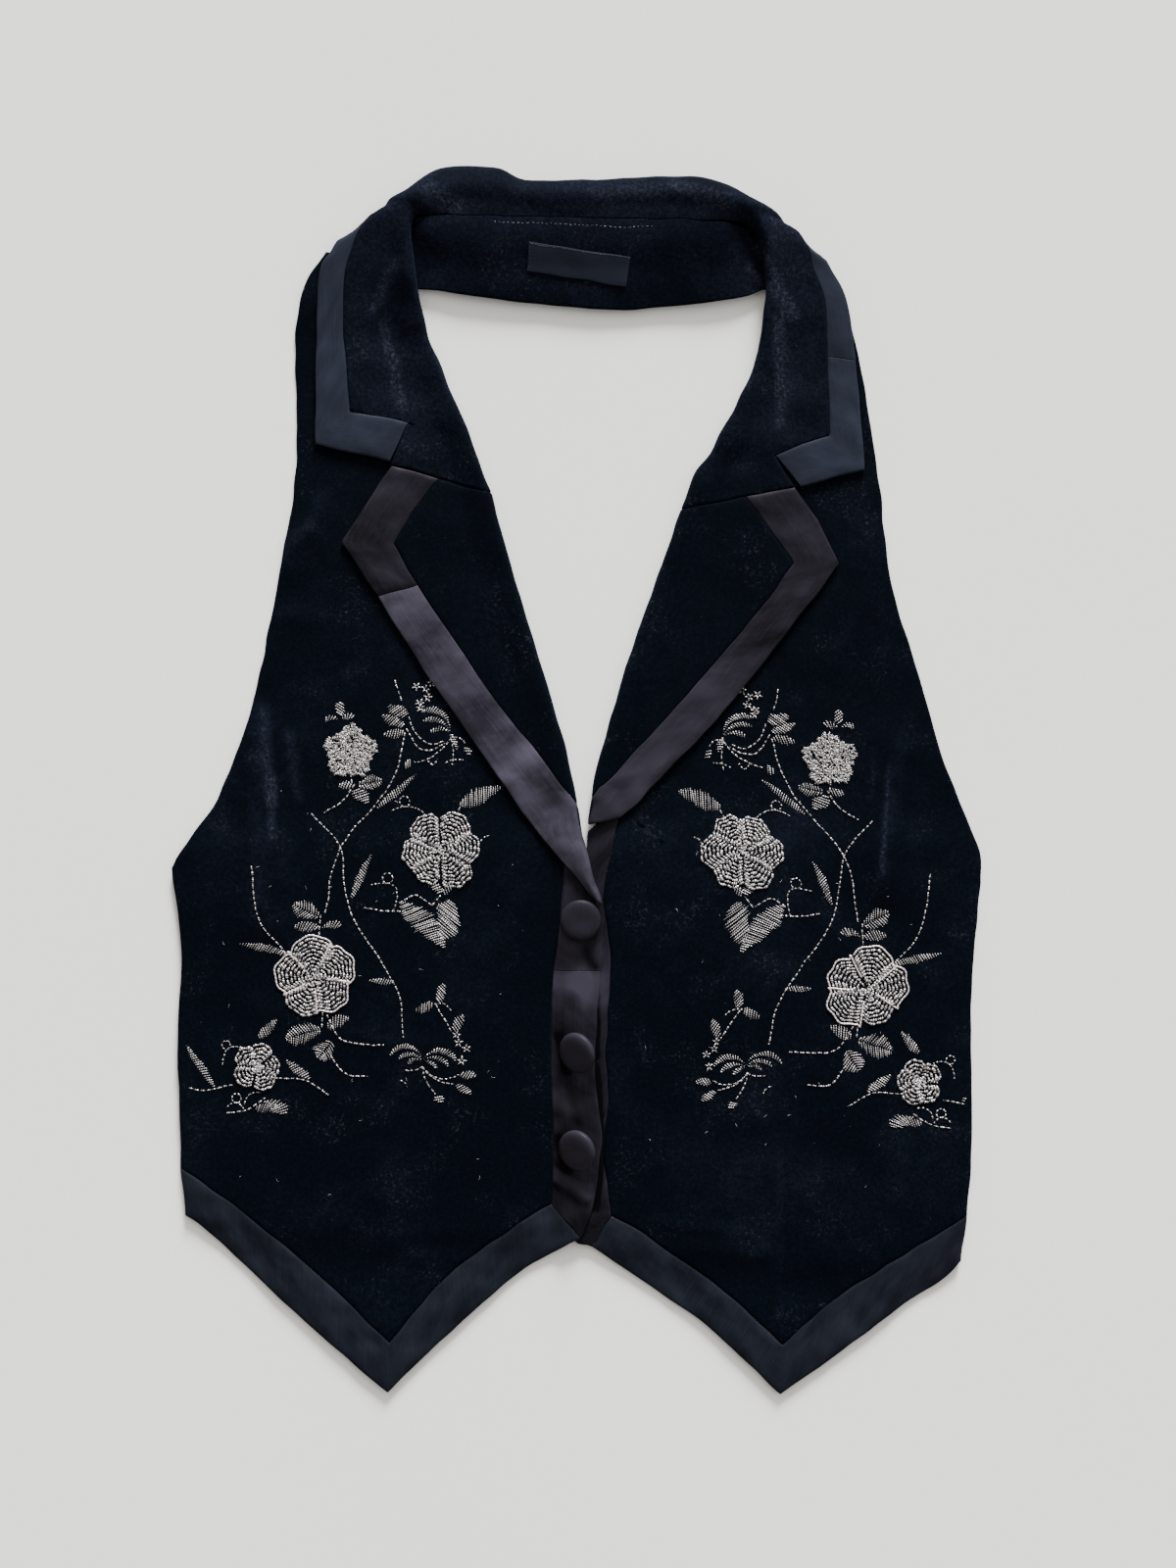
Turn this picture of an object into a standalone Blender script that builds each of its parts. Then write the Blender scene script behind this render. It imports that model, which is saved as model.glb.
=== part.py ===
"""Halter-neck evening waistcoat in dark velvet with satin edge bands, laid flat with its front up.

Sizes are in millimetres in the tables below and become metres when a mesh is made.
+Z is up from the surface, +Y runs towards the collar and +X towards the wearer's left side.
"""

import math

import bpy
import numpy as np
from mathutils import Matrix

MM = 0.001
NAME = "embroidered_waistcoat"

# Cloth walls and the spaces between them
WALL = 1.5
LABEL_WALL = 1.0
SEAM_GAP = 0.3
HALF_GAP = SEAM_GAP / 2
LAYER_GAP = 0.8
FLOOR_GAP = 0.02
MID = FLOOR_GAP + WALL / 2

# The rolled neck edge, where the lapels and the collar fold over
ROLL = 2.2
FOLDED = WALL + LAYER_GAP
TIGHT_ROLL = FOLDED / 2
ROLL_SHARE = 0.4
SETTLE = 16.0
FADE_ROWS = 6
LEAST_TURN = 0.35
MOST_TURN = 0.7
NECK_GAP = 0.7

# Steps along the seams that two pieces share
HEM_STEPS = (7, 6)
PLACKET_STEPS = 14
STRAP_STEPS = (2, 11)

# Heights that the fronts take over the back panel, over each other and over the hidden collar
BACK_TOP = -43.0
BACK_SLOPE = 25.0
BACK_MARGIN = 5.0
OVER_BACK = WALL + SEAM_GAP
LAP_LIFT = WALL + 0.6
LAP_START = -12.0
LAP_RISE = 8.0
LAP_TOP = -28.0
NECK_START = 222.0
NECK_RISE = 30.0
NECK_LIFT = 2.3
NECK_MIDDLE = 6.0
NECK_FLAT = 62.0
BAND_EDGE_LIFT = 0.8
BAND_SLOPE_LIFT = 4.0
BAND_BOTTOM = 240.0
BAND_WIDTH = 43.0

# Soft folds in the fronts: from, to, half width and height
FOLDS = (
    ((-160, 17), (-158, -70), 15, 2.0),
    ((163, 17), (153, -49), 15, 2.0),
    ((-145, 110), (-131, 134), 10, 1.2),
    ((-120, -95), (-60, -150), 34, 1.0),
    ((70, -90), (130, -160), 34, 1.0),
)

# Outlines of the wearer's right front, each from bottom to top or from outside to inside
RIGHT = {
    "side": ((-201, -197), (-203, -134), (-201, -89), (-203, -66), (-206, -44)),
    "armhole": ((-206, -44), (-202, -36), (-186, -14), (-175.5, 9), (-167.5, 31), (-158.5, 69),
                (-150, 114), (-144.5, 144), (-142.5, 174), (-143.5, 219), (-142.5, 234),
                (-137, 256), (-127, 269.5)),
    "strap_end": ((-127, 269.5), (-118, 268)),
    "strap_seam": ((-118, 268), (-86, 247)),
    "hem_seam_out": ((-201, -197), (-189, -205), (-154.7, -231), (-118.5, -263), (-95.5, -286)),
    "hem_seam_in": ((-95.5, -286), (-67, -253), (-36.7, -230), (-23.5, -221), (-12.5, -215)),
    "hem_side": ((-201, -197), (-199, -221)),
    "hem_out": ((-199, -221), (-185.5, -231), (-147, -267), (-114.5, -296), (-96, -311)),
    "hem_in": ((-96, -311), (-71, -287), (-33, -253), (-15.5, -242), (2.5, -232)),
    "placket_seam": ((-12.5, -215), (-11.7, -180), (-13, -140), (-12, -101), (-9.2, -79),
                     (-5.7, -41)),
    "placket_top": ((-5.7, -41), (0.7, -36)),
    "placket_edge": ((2.5, -232), (8.9, -214), (13, -180), (9.7, -150), (11.5, -109), (14.2, -70)),
    "placket_fold": ((14.2, -70), (11.6, -66.8), (5.4, -50.4), (1.5, -40), (0.7, -36)),
    "neck_end": ((-83.6, 236), (-86, 247)),
}

# Outlines of the wearer's left front
LEFT = {
    "side": ((199, -221), (201.5, -185), (201, -126), (202.5, -89), (206, -51)),
    "armhole": ((206, -51), (205.5, -36), (194, -6), (185.5, 16), (179, 39), (170, 69),
                (163, 91), (158.5, 114), (155.5, 144), (152.5, 166), (146.5, 204), (141, 229),
                (135, 246), (126, 259)),
    "strap_end": ((126, 259), (119, 259)),
    "strap_seam": ((119, 259), (101.5, 245)),
    "hem_seam_out": ((199, -221), (181, -232), (137, -260), (118, -275), (105, -286.5)),
    "hem_seam_in": ((105, -286.5), (77, -261), (42, -235.5), (31.5, -228), (18, -221)),
    "hem_side": ((199, -221), (196, -244)),
    "hem_out": ((196, -244), (185, -255), (168.5, -265), (134, -291), (104, -312)),
    "hem_in": ((104, -312), (94.5, -303), (68.5, -279), (53.5, -268), (24.5, -248), (8, -237)),
    "placket_seam": ((18, -221), (14, -187), (16.5, -164), (15.3, -134), (17.5, -89), (14, -60),
                     (17.5, -38), (22, -18)),
    "placket_top": ((22, -18), (11.6, -13)),
    "placket_edge": ((8, -237), (-3, -226), (-3, -150), (-2.5, -58)),
    "placket_fold": ((-2.5, -58), (4.9, -36), (6.4, -30), (10, -25), (10.6, -20), (11.6, -13)),
    "neck_end": ((99, 232), (101.5, 245)),
}

# Lapels: each row has the rolled neck edge, the seam with the satin band and the band's edge
RIGHT_LAPEL = (
    ((-44.2, 147), (-70, 154), (-94, 161)),
    ((-40.5, 134), (-83.5, 137.5), (-107, 141)),
    ((-36.5, 119), (-93, 121), (-119.5, 122)),
    ((-30, 97), (-81, 100), (-101, 94)),
    ((-20.5, 66), (-60.5, 69.5), (-81, 62)),
    ((-12, 38), (-39.5, 39), (-60.5, 32)),
    ((-5, 13), (-18, 12.5), (-38.5, 0.5)),
    ((-2.5, 1), (-8.2, -1), (-30, -12)),
    ((0, -12), (0, -12), (-20, -25.5)),
    ((3.2, -29), (3.2, -29), (-9.8, -37.5)),
    ((8.6, -50), (8.6, -50), (0.4, -48.6)),
    ((12.7, -62.4), (12.7, -62.4), (6.9, -57.6)),
)
RIGHT_LAPEL_TIP = (6, 9)
RIGHT_LAPEL_JOIN = 3
RIGHT_PLACKET_JOIN = 9
LEFT_LAPEL = (
    ((54, 138.8), (86, 145), (111, 150)),
    ((50, 127), (98.5, 128.5), (123, 133)),
    ((44.5, 111), (111, 111.5), (134, 111)),
    ((39.5, 97), (98.5, 94), (117.5, 89)),
    ((29.5, 69), (75, 65.5), (94.5, 59.5)),
    ((20.5, 40), (50, 37), (72, 32)),
    ((13, 14), (27, 12), (48, 7)),
    ((10.3, 3), (17, 1), (39, -2.5)),
    ((8.2, -8), (8.2, -8), (32, -10)),
    ((6.6, -22), (6.6, -22), (22.5, -18.5)),
)
LEFT_LAPEL_TIP = (6, 9)

# Collar over each strap: neck edge, seam with the satin band, and the band's edge
RIGHT_COLLAR = (
    ((-44.2, 147), (-94.6, 161.6), None),
    ((-49.5, 161), (-90, 172.5), None),
    ((-55, 176), (-85.2, 182.8), (-95, 163)),
    ((-58.2, 184), (-100, 185.8), (-113.5, 167)),
    ((-61, 191), (-115.5, 188.3), (-133, 171.5)),
    ((-65.5, 201.5), (-116.3, 200), (-132.7, 188)),
    ((-70, 212), (-117, 212), (-132.5, 206)),
    ((-75.5, 225), (-118.5, 226), (-132.2, 224)),
)
LEFT_COLLAR = (
    ((54, 138.8), (111.3, 150.3), None),
    ((62, 158), (106, 158), None),
    ((70, 170), (101.5, 166), (114.5, 150)),
    ((73.5, 176), (115, 172), (131, 154.5)),
    ((77, 182), (129, 176), (147, 159)),
    ((83.5, 195), (128.8, 190), (145.6, 176)),
    ((90, 208), (128.3, 203), (144, 196)),
    ((93.5, 219), (127.6, 216), (142.2, 214.5)),
)

# Sections at each end of the next table where the satin is still on top, and the shares of a
# section's length where the velvet's and the satin's points lie
TURNED_OVER = 3
TURN_GAP = 3.5
NECK_VELVET_SHARES = (0, 0.06, 0.12, 0.18, 0.26, 0.38, 0.52, 0.67, 0.83, 0.994)
NECK_SATIN_SHARES = (0.04, 0.34, 0.67, 1)

# Collar round the back of the neck, in sections from the wearer's right to the left:
# neck seam, rise, crest, shoulder of the fall, turn, satin seam and edge, each x, y, z
NECK_SECTIONS = (
    ((-84, 252.3, 4.9), (-81.5, 252.5, 7.2), (-84, 253, 9.6), (-95, 254, 6.8), (-107, 255.5, 5.5),
     (-119.3, 257, 5.3), (-130.8, 258.5, 5.2)),
    ((-86.5, 271, 5.3), (-84.3, 272.5, 8), (-86.5, 274, 11), (-95.5, 275, 8.6), (-106, 275, 6.4),
     (-115.5, 272.5, 5.4), (-124.5, 268, 5.3)),
    ((-84.6, 281.5, 6.8), (-84.2, 282.5, 9.5), (-87.5, 285, 12), (-97, 286, 9.4),
     (-106, 283, 6.8), (-112, 279.5, 4.9), (-120.2, 274, 4.6)),
    ((-80.5, 287.8, 8.4), (-82, 289.5, 10.6), (-87, 293, 12.2), (-98, 291.5, 7.6),
     (-106.5, 285.5, 3.2), (-107, 279, 0.9), (-112, 269.5, 0.8)),
    ((-72, 287.6, 9.2), (-76, 292, 11.4), (-82.5, 298, 12.6), (-93.5, 298, 7), (-96.5, 290, 1.4),
     (-96.5, 277, 0.8), (-99, 265, 0.8)),
    ((-60, 287.2, 9.3), (-62, 293, 11.8), (-65.5, 302, 12.8), (-68.5, 310.5, 6.5),
     (-71, 303, 1.2), (-76, 273, 0.8), (-78, 260, 0.8)),
    ((-40, 286.8, 9.3), (-40.5, 293, 12), (-41, 302, 13), (-41.5, 311.5, 6.8), (-41.5, 304, 1.2),
     (-42, 273, 0.8), (-42, 260, 0.8)),
    ((-22, 286.3, 9.3), (-22, 291, 11.2), (-22, 298, 12), (-22, 305, 6.4), (-22, 298, 1.2),
     (-22, 271, 0.8), (-22, 258, 0.8)),
    ((30, 285.3, 9.3), (30, 291, 11.4), (30, 298.5, 12.2), (30, 305.8, 6.4), (30, 298.5, 1.2),
     (30, 271, 0.8), (30, 258, 0.8)),
    ((62, 284.8, 9.3), (63, 291, 11.6), (64.5, 299, 12.6), (65.5, 305.8, 6.5), (66, 298, 1.2),
     (66, 268, 0.8), (67, 255, 0.8)),
    ((78, 284, 9.2), (82, 288.5, 11.2), (88, 293, 12.4), (99, 290, 7), (102, 282, 1.4),
     (101, 269, 0.8), (103, 257, 0.8)),
    ((87, 282.4, 8.6), (89, 284, 10.6), (93, 286.5, 12), (104, 283.5, 7.6), (112.5, 277.5, 3.2),
     (112, 270, 0.9), (116, 260.5, 0.8)),
    ((92.6, 275, 6.8), (93, 276.3, 9.5), (96.5, 278, 12), (105, 277.5, 9.4), (113, 274.5, 6.8),
     (119, 270, 5), (126, 264.6, 4.8)),
    ((98.5, 262, 5.3), (96, 264, 8), (98, 265.5, 11), (106, 266, 8.6), (114.5, 265, 6.4),
     (121.5, 262.5, 5.4), (131, 258.5, 5.3)),
    ((98.8, 243, 4.6), (96.2, 243, 7), (98.6, 243.3, 9.3), (107, 243.5, 6.7), (116.5, 243, 5.4),
     (126, 242.5, 5.2), (138, 243, 5.1)),
)

# Neck band behind the neck, label and back panel
BAND_BOTTOM_EDGE = ((-86, 247), (-81, 250.8), (-31, 244), (9.5, 240.5), (27, 240), (61.5, 243),
                    (86, 246.5), (96, 250.4), (101.5, 245))
BAND_TOP_EDGE = ((-118, 268), (-98, 280), (-84, 285.8), (-60, 286.9), (-22, 286), (30, 285),
                 (62, 284.5), (84, 281.6), (104, 272), (119, 259))
LABEL_LOW = ((-25, 259), (25.3, 251))
LABEL_HIGH = ((-24, 273.6), (27.5, 265.7))
BACK_LOW = ((-199.8, -215.5), (197.5, -236))
BACK_RIGHT_SIDE = ((-199.8, -215.5), (-202, -190), (-202, -134), (-200, -89), (-204.5, -43.5))
BACK_LEFT_SIDE = ((197.5, -236), (200.4, -185), (200, -126), (201.5, -89), (204.5, -50))

# Covered buttons: place of the centre, tilt in degrees and the direction of the tilt's axis
BUTTON_RADIUS = 10.5
BUTTON_SEAT = 6.0
BUTTON_RIM = 2.4
BUTTON_DOME = 3.8
BUTTON_STEPS = 20
BUTTONS = {
    "button_top": ((2.2, -70.4), 0.0, 120.0),
    "button_middle": ((1.9, -136), 28.0, 120.0),
    "button_bottom": ((2.0, -186), 28.0, 115.0),
}

# Finishes: base colour, roughness and metallic value
VELVET = ((0.006, 0.008, 0.016), 0.85, 0.0)
SATIN = ((0.030, 0.029, 0.038), 0.38, 0.0)
BUTTON_SATIN = ((0.034, 0.033, 0.042), 0.4, 0.0)
LABEL_WEAVE = ((0.008, 0.009, 0.014), 0.7, 0.0)


def ease(value):
    """Smooth step from 0 to 1."""
    share = np.clip(value, 0.0, 1.0)
    return share * share * (3.0 - 2.0 * share)


def curve(points, count):
    """count + 1 points at even distances along a smooth curve through the points."""
    knots = np.array(points, dtype=float)
    if len(knots) > 2:
        ends = (2 * knots[0] - knots[1], 2 * knots[-1] - knots[-2])
        padded = np.vstack([ends[0], knots, ends[1]])
        steps = np.linspace(0, 1, 12, endpoint=False)[:, None]
        dense = [catmull(padded[index:index + 4], steps) for index in range(len(knots) - 1)]
        knots = np.vstack(dense + [knots[-1:]])
    return resample(knots, np.linspace(0, 1, count + 1))


def catmull(four, share):
    """Points of one Catmull-Rom span between the middle two of four points."""
    before, first, second, after = four
    return 0.5 * (2 * first + (second - before) * share
                  + (2 * before - 5 * first + 4 * second - after) * share ** 2
                  + (3 * first - before - 3 * second + after) * share ** 3)


def resample(path, shares):
    """Points of a polyline at the given shares of its length."""
    steps = np.linalg.norm(np.diff(path, axis=0), axis=1)
    length = np.concatenate([[0], np.cumsum(steps)])
    where = np.array(shares) * length[-1]
    return np.column_stack([np.interp(where, length, path[:, axis]) for axis in range(path.shape[1])])


def chain(*runs):
    """One polyline from runs that share their end points."""
    return np.vstack([runs[0]] + [run[1:] for run in runs[1:]])


def inset(path, distance):
    """A plan polyline moved sideways, to its left for a positive distance."""
    ways = np.gradient(path, axis=0)
    ways /= np.linalg.norm(ways, axis=1)[:, None]
    return path + distance * np.column_stack([-ways[:, 1], ways[:, 0]])


def shrink(loop_sides, distance=HALF_GAP):
    """The four sides of a patch (bottom, top, left, right), each moved into the patch."""
    bottom, top, left, right = loop_sides
    bottom = inset(bottom, distance)
    top = inset(top, -distance)
    left = inset(left, -distance)
    right = inset(right, distance)
    for one, other, at_one, at_other in ((bottom, left, 0, 0), (bottom, right, -1, 0),
                                         (top, left, 0, -1), (top, right, -1, -1)):
        corner = meet(one, other, at_one, at_other)
        one[at_one] = corner
        other[at_other] = corner
    return bottom, top, left, right


def meet(one, other, at_one, at_other):
    """Where the end stretches of two plan polylines cross, or halfway where they run alongside."""
    next_one = 1 if at_one == 0 else -2
    next_other = 1 if at_other == 0 else -2
    way_one = one[at_one] - one[next_one]
    way_other = other[at_other] - other[next_other]
    spread = way_one[0] * way_other[1] - way_one[1] * way_other[0]
    if abs(spread) < 0.2 * np.linalg.norm(way_one) * np.linalg.norm(way_other):
        return (one[at_one] + other[at_other]) / 2
    reach = other[at_other] - one[at_one]
    share = (reach[0] * way_other[1] - reach[1] * way_other[0]) / spread
    return one[at_one] + way_one * share


def coons(bottom, top, left, right):
    """Rows of plan points that fill the patch between its four sides."""
    across = np.linspace(0, 1, len(bottom))[:, None]
    rows = []
    for index, up in enumerate(np.linspace(0, 1, len(left))):
        between_ends = left[index] * (1 - across) + right[index] * across
        between_sides = bottom * (1 - up) + top * up
        corners = ((bottom[0] * (1 - across) + bottom[-1] * across) * (1 - up)
                   + (top[0] * (1 - across) + top[-1] * across) * up)
        rows.append(between_ends + between_sides - corners)
    return rows


def hem_line(x):
    """Height up the sheet of the back panel's hem."""
    (left_x, left_y), (right_x, right_y) = BACK_LOW
    return left_y + (right_y - left_y) * (x - left_x) / (right_x - left_x)


def fold_height(x, y):
    """Soft folds of the fronts."""
    total = np.zeros_like(x)
    for start, end, half_width, height in FOLDS:
        start = np.array(start, dtype=float)
        way = np.array(end, dtype=float) - start
        share = np.clip(((x - start[0]) * way[0] + (y - start[1]) * way[1]) / way.dot(way), 0, 1)
        away = np.hypot(x - start[0] - share * way[0], y - start[1] - share * way[1])
        total += height * np.exp(-(away / half_width) ** 2)
    return total


def front_level(points):
    """Height of the middle of the fronts' cloth, for plan points."""
    x, y = points[..., 0], points[..., 1]
    over_back = ease((BACK_TOP + BACK_MARGIN + BACK_SLOPE - y) / BACK_SLOPE)
    below_hem = ease((hem_line(x) - BACK_MARGIN - y) / BACK_SLOPE)
    shoulder = NECK_LIFT * ease((y - NECK_START) / NECK_RISE)
    middle = 1 - ease((np.abs(x - NECK_MIDDLE) - NECK_FLAT) / NECK_RISE)
    band = middle * (BAND_EDGE_LIFT + BAND_SLOPE_LIFT * ease((y - BAND_BOTTOM) / BAND_WIDTH))
    band = band * (y > NECK_START)
    return MID + OVER_BACK * over_back * (1 - below_hem) + shoulder + band + fold_height(x, y)


def right_level(points):
    """Height of the wearer's right front, which laps over the left one."""
    x, y = points[..., 0], points[..., 1]
    lap = ease((x - LAP_START) / LAP_RISE) * ease((LAP_TOP - y) / LAP_RISE)
    return front_level(points) + LAP_LIFT * lap


def raised(rows, level, lift=0.0):
    """Rows of plan points with the height of a level function."""
    return [np.column_stack([row, level(row) + lift]) for row in rows]


def roll_way(edge, outer):
    """Direction and radius of the roll at one place on the neck edge."""
    width = np.linalg.norm(outer - edge)
    return (outer - edge) / width, float(np.clip(ROLL_SHARE * width, TIGHT_ROLL, ROLL))


def folded_path(edge, seam, outer, level):
    """Cloth that rolls over the neck edge and lies on the front.

    Returns the path from the seam under the roll to the outer edge, the distance along it to the
    satin seam, and the length of the roll.
    """
    edge, seam, outer = (np.array(point, dtype=float) for point in (edge, seam, outer))
    way, radius = roll_way(edge, outer)
    low = level(edge + way * radius)
    angles = np.linspace(-math.pi / 2, math.pi / 2, 9)
    reach = radius * (1 - np.cos(angles))
    turn = np.column_stack([edge + way * reach[:, None], low + radius * (1 + np.sin(angles))])
    to_seam = np.linalg.norm(seam - edge)
    past_roll = to_seam > radius + TIGHT_ROLL
    corners = [turn[-1, :2], seam, outer] if past_roll else [turn[-1, :2], outer]
    flat = chain(*[resample(np.array(pair), np.linspace(0, 1, 11))
                   for pair in zip(corners[:-1], corners[1:])])
    run = np.concatenate([[0], np.cumsum(np.linalg.norm(np.diff(flat, axis=0), axis=1))])
    rest = level(flat) + FOLDED
    settle = 1 - ease(run / min(SETTLE, run[-1]))
    heights = rest + np.maximum(low + 2 * radius - rest[0], 0) * settle
    path = np.vstack([turn, np.column_stack([flat, heights])[1:]])
    if past_roll:
        seam_at = math.pi * radius + run[10]
    elif to_seam > radius:
        seam_at = math.pi * radius + to_seam - radius
    else:
        seam_at = radius * (math.pi / 2 + math.acos(1 - to_seam / radius))
    return path, seam_at, math.pi * radius


def slice_path(path, first, last, turn, turn_steps, flat_steps, least_share=0.0):
    """Points of a path between two distances, closer together over the roll."""
    steps = np.linalg.norm(np.diff(path, axis=0), axis=1)
    length = np.concatenate([[0], np.cumsum(steps)])
    last = min(last, length[-1])
    span = last - first
    middle = first + np.clip(turn - first, least_share * span, MOST_TURN * span)
    where = np.concatenate([np.linspace(first, middle, turn_steps + 1),
                            np.linspace(middle, last, flat_steps + 1)[1:]])
    return np.column_stack([np.interp(where, length, path[:, axis]) for axis in range(3)])


def between(rows, shares):
    """Rows with more rows between them, on smooth curves through their points."""
    rows = [np.array(row, dtype=float) for row in rows]
    padded = [2 * rows[0] - rows[1]] + rows + [2 * rows[-1] - rows[-2]]
    out = []
    for index in range(len(rows) - 1):
        out += [catmull(padded[index:index + 4], share) for share in shares]
    return out + [rows[-1]]


def trimmed(rows, first, last):
    """Rows with the first and the last one moved inwards along the sheet, in millimetres."""
    out = [row.copy() for row in rows]
    for index, beside, distance in ((0, 1, first), (-1, -2, last)):
        way = out[beside] - out[index]
        length = np.linalg.norm(way, axis=1)[:, None]
        out[index] = out[index] + way * (distance / np.maximum(length, distance * 2))
    return out


def finish(name, look):
    """A Principled material with a piece's colour."""
    colour, roughness, metallic = look
    material = bpy.data.materials.new(name + "_finish")
    material.use_nodes = True
    shader = material.node_tree.nodes["Principled BSDF"]
    shader.inputs["Base Color"].default_value = (*colour, 1.0)
    shader.inputs["Roughness"].default_value = roughness
    shader.inputs["Metallic"].default_value = metallic
    return material


def add_sheet(collection, name, rows, look, wall=WALL):
    """A cloth piece: a sheet through rows of points on its middle, thickened to its wall."""
    width = len(rows[0])
    points = np.vstack(rows)
    points[:, 2] = np.maximum(points[:, 2], FLOOR_GAP + wall / 2)
    faces = []
    for row in range(len(rows) - 1):
        for column in range(width - 1):
            corner = row * width + column
            faces.append((corner, corner + 1, corner + width + 1, corner + width))
    mesh = bpy.data.meshes.new(name)
    mesh.from_pydata((points * MM).tolist(), [], faces)
    mesh.shade_smooth()
    piece = bpy.data.objects.new(name, mesh)
    collection.objects.link(piece)
    mesh.materials.append(finish(name, look))
    shell = piece.modifiers.new("wall", "SOLIDIFY")
    shell.thickness = wall * MM
    shell.offset = 0.0
    shell.use_even_offset = True
    return piece


def add_back_panel(collection):
    """Low back from side seam to side seam, flat on the surface under the fronts."""
    left = curve(BACK_RIGHT_SIDE, 8)
    right = curve(BACK_LEFT_SIDE, 8)
    low = curve(BACK_LOW, 10)
    high = curve((left[-1], right[-1]), 10)
    rows = [np.column_stack([row, np.full(len(row), WALL / 2)])
            for row in coons(low, high, left, right)]
    piece = add_sheet(collection, "back_panel", rows, VELVET)
    for vertex in piece.data.vertices:
        vertex.co.z = WALL / 2 * MM


def front_sides(shape, lapel, collar):
    """The four sides of a front panel, in plan: hem seam, strap end, side and centre."""
    hem = chain(*[curve(shape[key], steps)
                  for key, steps in zip(("hem_seam_out", "hem_seam_in"), HEM_STEPS)])
    strap = chain(*[curve(shape[key], steps)
                    for key, steps in zip(("strap_end", "strap_seam"), STRAP_STEPS)])
    neck = np.vstack([shape["placket_top"][-1:], neck_line(lapel, collar, shape["placket_top"][-1]),
                      shape["neck_end"]])
    centre = chain(curve(shape["placket_seam"], PLACKET_STEPS), curve(shape["placket_top"], 1),
                   neck)
    side = chain(curve(shape["side"], PLACKET_STEPS), curve(shape["armhole"], len(neck)))
    return hem, strap, side, centre


def neck_line(lapel, collar, above):
    """Edge of a front under the roll, from the placket's top up to the strap seam."""
    rows = between([np.array(row) for row in lapel[::-1]], (0, 0.5))
    rows += [np.array([edge, seam, outer or seam]) for edge, seam, outer in collar[1:]]
    starts = []
    for edge, seam, outer in rows:
        way, radius = roll_way(edge, outer)
        starts.append(edge + way * (radius + NECK_GAP))
    return np.array([start for start in starts if start[1] > above[1] + 3])


def add_front(collection, name, shape, lapel, collar, level, mirrored):
    """Velvet front: armhole, strap and neck edge above, hem point below."""
    hem, strap, side, centre = front_sides(shape, lapel, collar)
    if mirrored:
        sides = shrink((hem[::-1], strap[::-1], centre, side))
    else:
        sides = shrink((hem, strap, side, centre))
    add_sheet(collection, name, raised(coons(*sides), level), VELVET)


def add_hem_band(collection, name, shape, level, mirrored):
    """Satin band along a front's hem, mitred at the centre."""
    upper = chain(*[curve(shape[key], steps)
                    for key, steps in zip(("hem_seam_out", "hem_seam_in"), HEM_STEPS)])
    lower = chain(*[curve(shape[key], steps)
                    for key, steps in zip(("hem_out", "hem_in"), HEM_STEPS)])
    outer_end = curve(shape["hem_side"][::-1], 2)
    inner_end = curve((lower[-1], upper[-1]), 2)
    if mirrored:
        sides = shrink((lower[::-1], upper[::-1], inner_end, outer_end))
    else:
        sides = shrink((lower, upper, outer_end, inner_end))
    add_sheet(collection, name, raised(coons(*sides), level), SATIN)


def placket_rows(shape, side, level, shares):
    """Rows across a placket band, from its hem mitre to its top."""
    seam = inset(curve(shape["placket_seam"], PLACKET_STEPS), side * HALF_GAP)
    edge = chain(curve(shape["placket_edge"], 30), curve(shape["placket_fold"], 12))
    edge = resample(edge, np.linspace(0, 1, PLACKET_STEPS + 1))
    shares = np.array(shares)[:, None]
    rows = [seam[index] * (1 - shares) + edge[index] * shares
            for index in range(PLACKET_STEPS + 1)]
    return trimmed(raised(rows, level), SEAM_GAP, SEAM_GAP)


def add_right_placket(collection):
    """Satin band down the right front's edge, lapping over the left one, in two lengths."""
    rows = placket_rows(RIGHT, -1, right_level, (0, 0.16, 0.34, 0.66, 1))
    lower = trimmed(rows[:RIGHT_PLACKET_JOIN + 1], 0, HALF_GAP)
    upper = trimmed(rows[RIGHT_PLACKET_JOIN:], HALF_GAP, 0)
    add_sheet(collection, "right_placket_band_lower", lower, SATIN)
    add_sheet(collection, "right_placket_band_upper", upper, SATIN)


def add_left_placket(collection):
    """Satin band down the left front's edge, under the other, which carries the buttons."""
    rows = placket_rows(LEFT, 1, front_level, (0, 0.33, 0.67, 1))
    add_sheet(collection, "left_placket_band", [row[::-1] for row in rows], SATIN)


def lapel_paths(table, tip, level):
    """Section paths of a lapel with its band, closest together at the velvet's lower tip."""
    fine = between([np.array(row) for row in table], (0, 0.25, 0.5, 0.75))
    first, last = tip
    rows = [row for index, row in enumerate(fine)
            if index % 2 == 0 or 4 * first < index < 4 * last]
    paths = [folded_path(*row, level) for row in rows]
    steps_past = 0
    for index, (path, seam_at, turn) in enumerate(paths):
        if seam_at > turn / 2 + HALF_GAP:
            continue
        steps_past += 1
        paths[index] = (path, seam_at * max(0.0, 1 - steps_past / FADE_ROWS), turn)
    return paths


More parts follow.
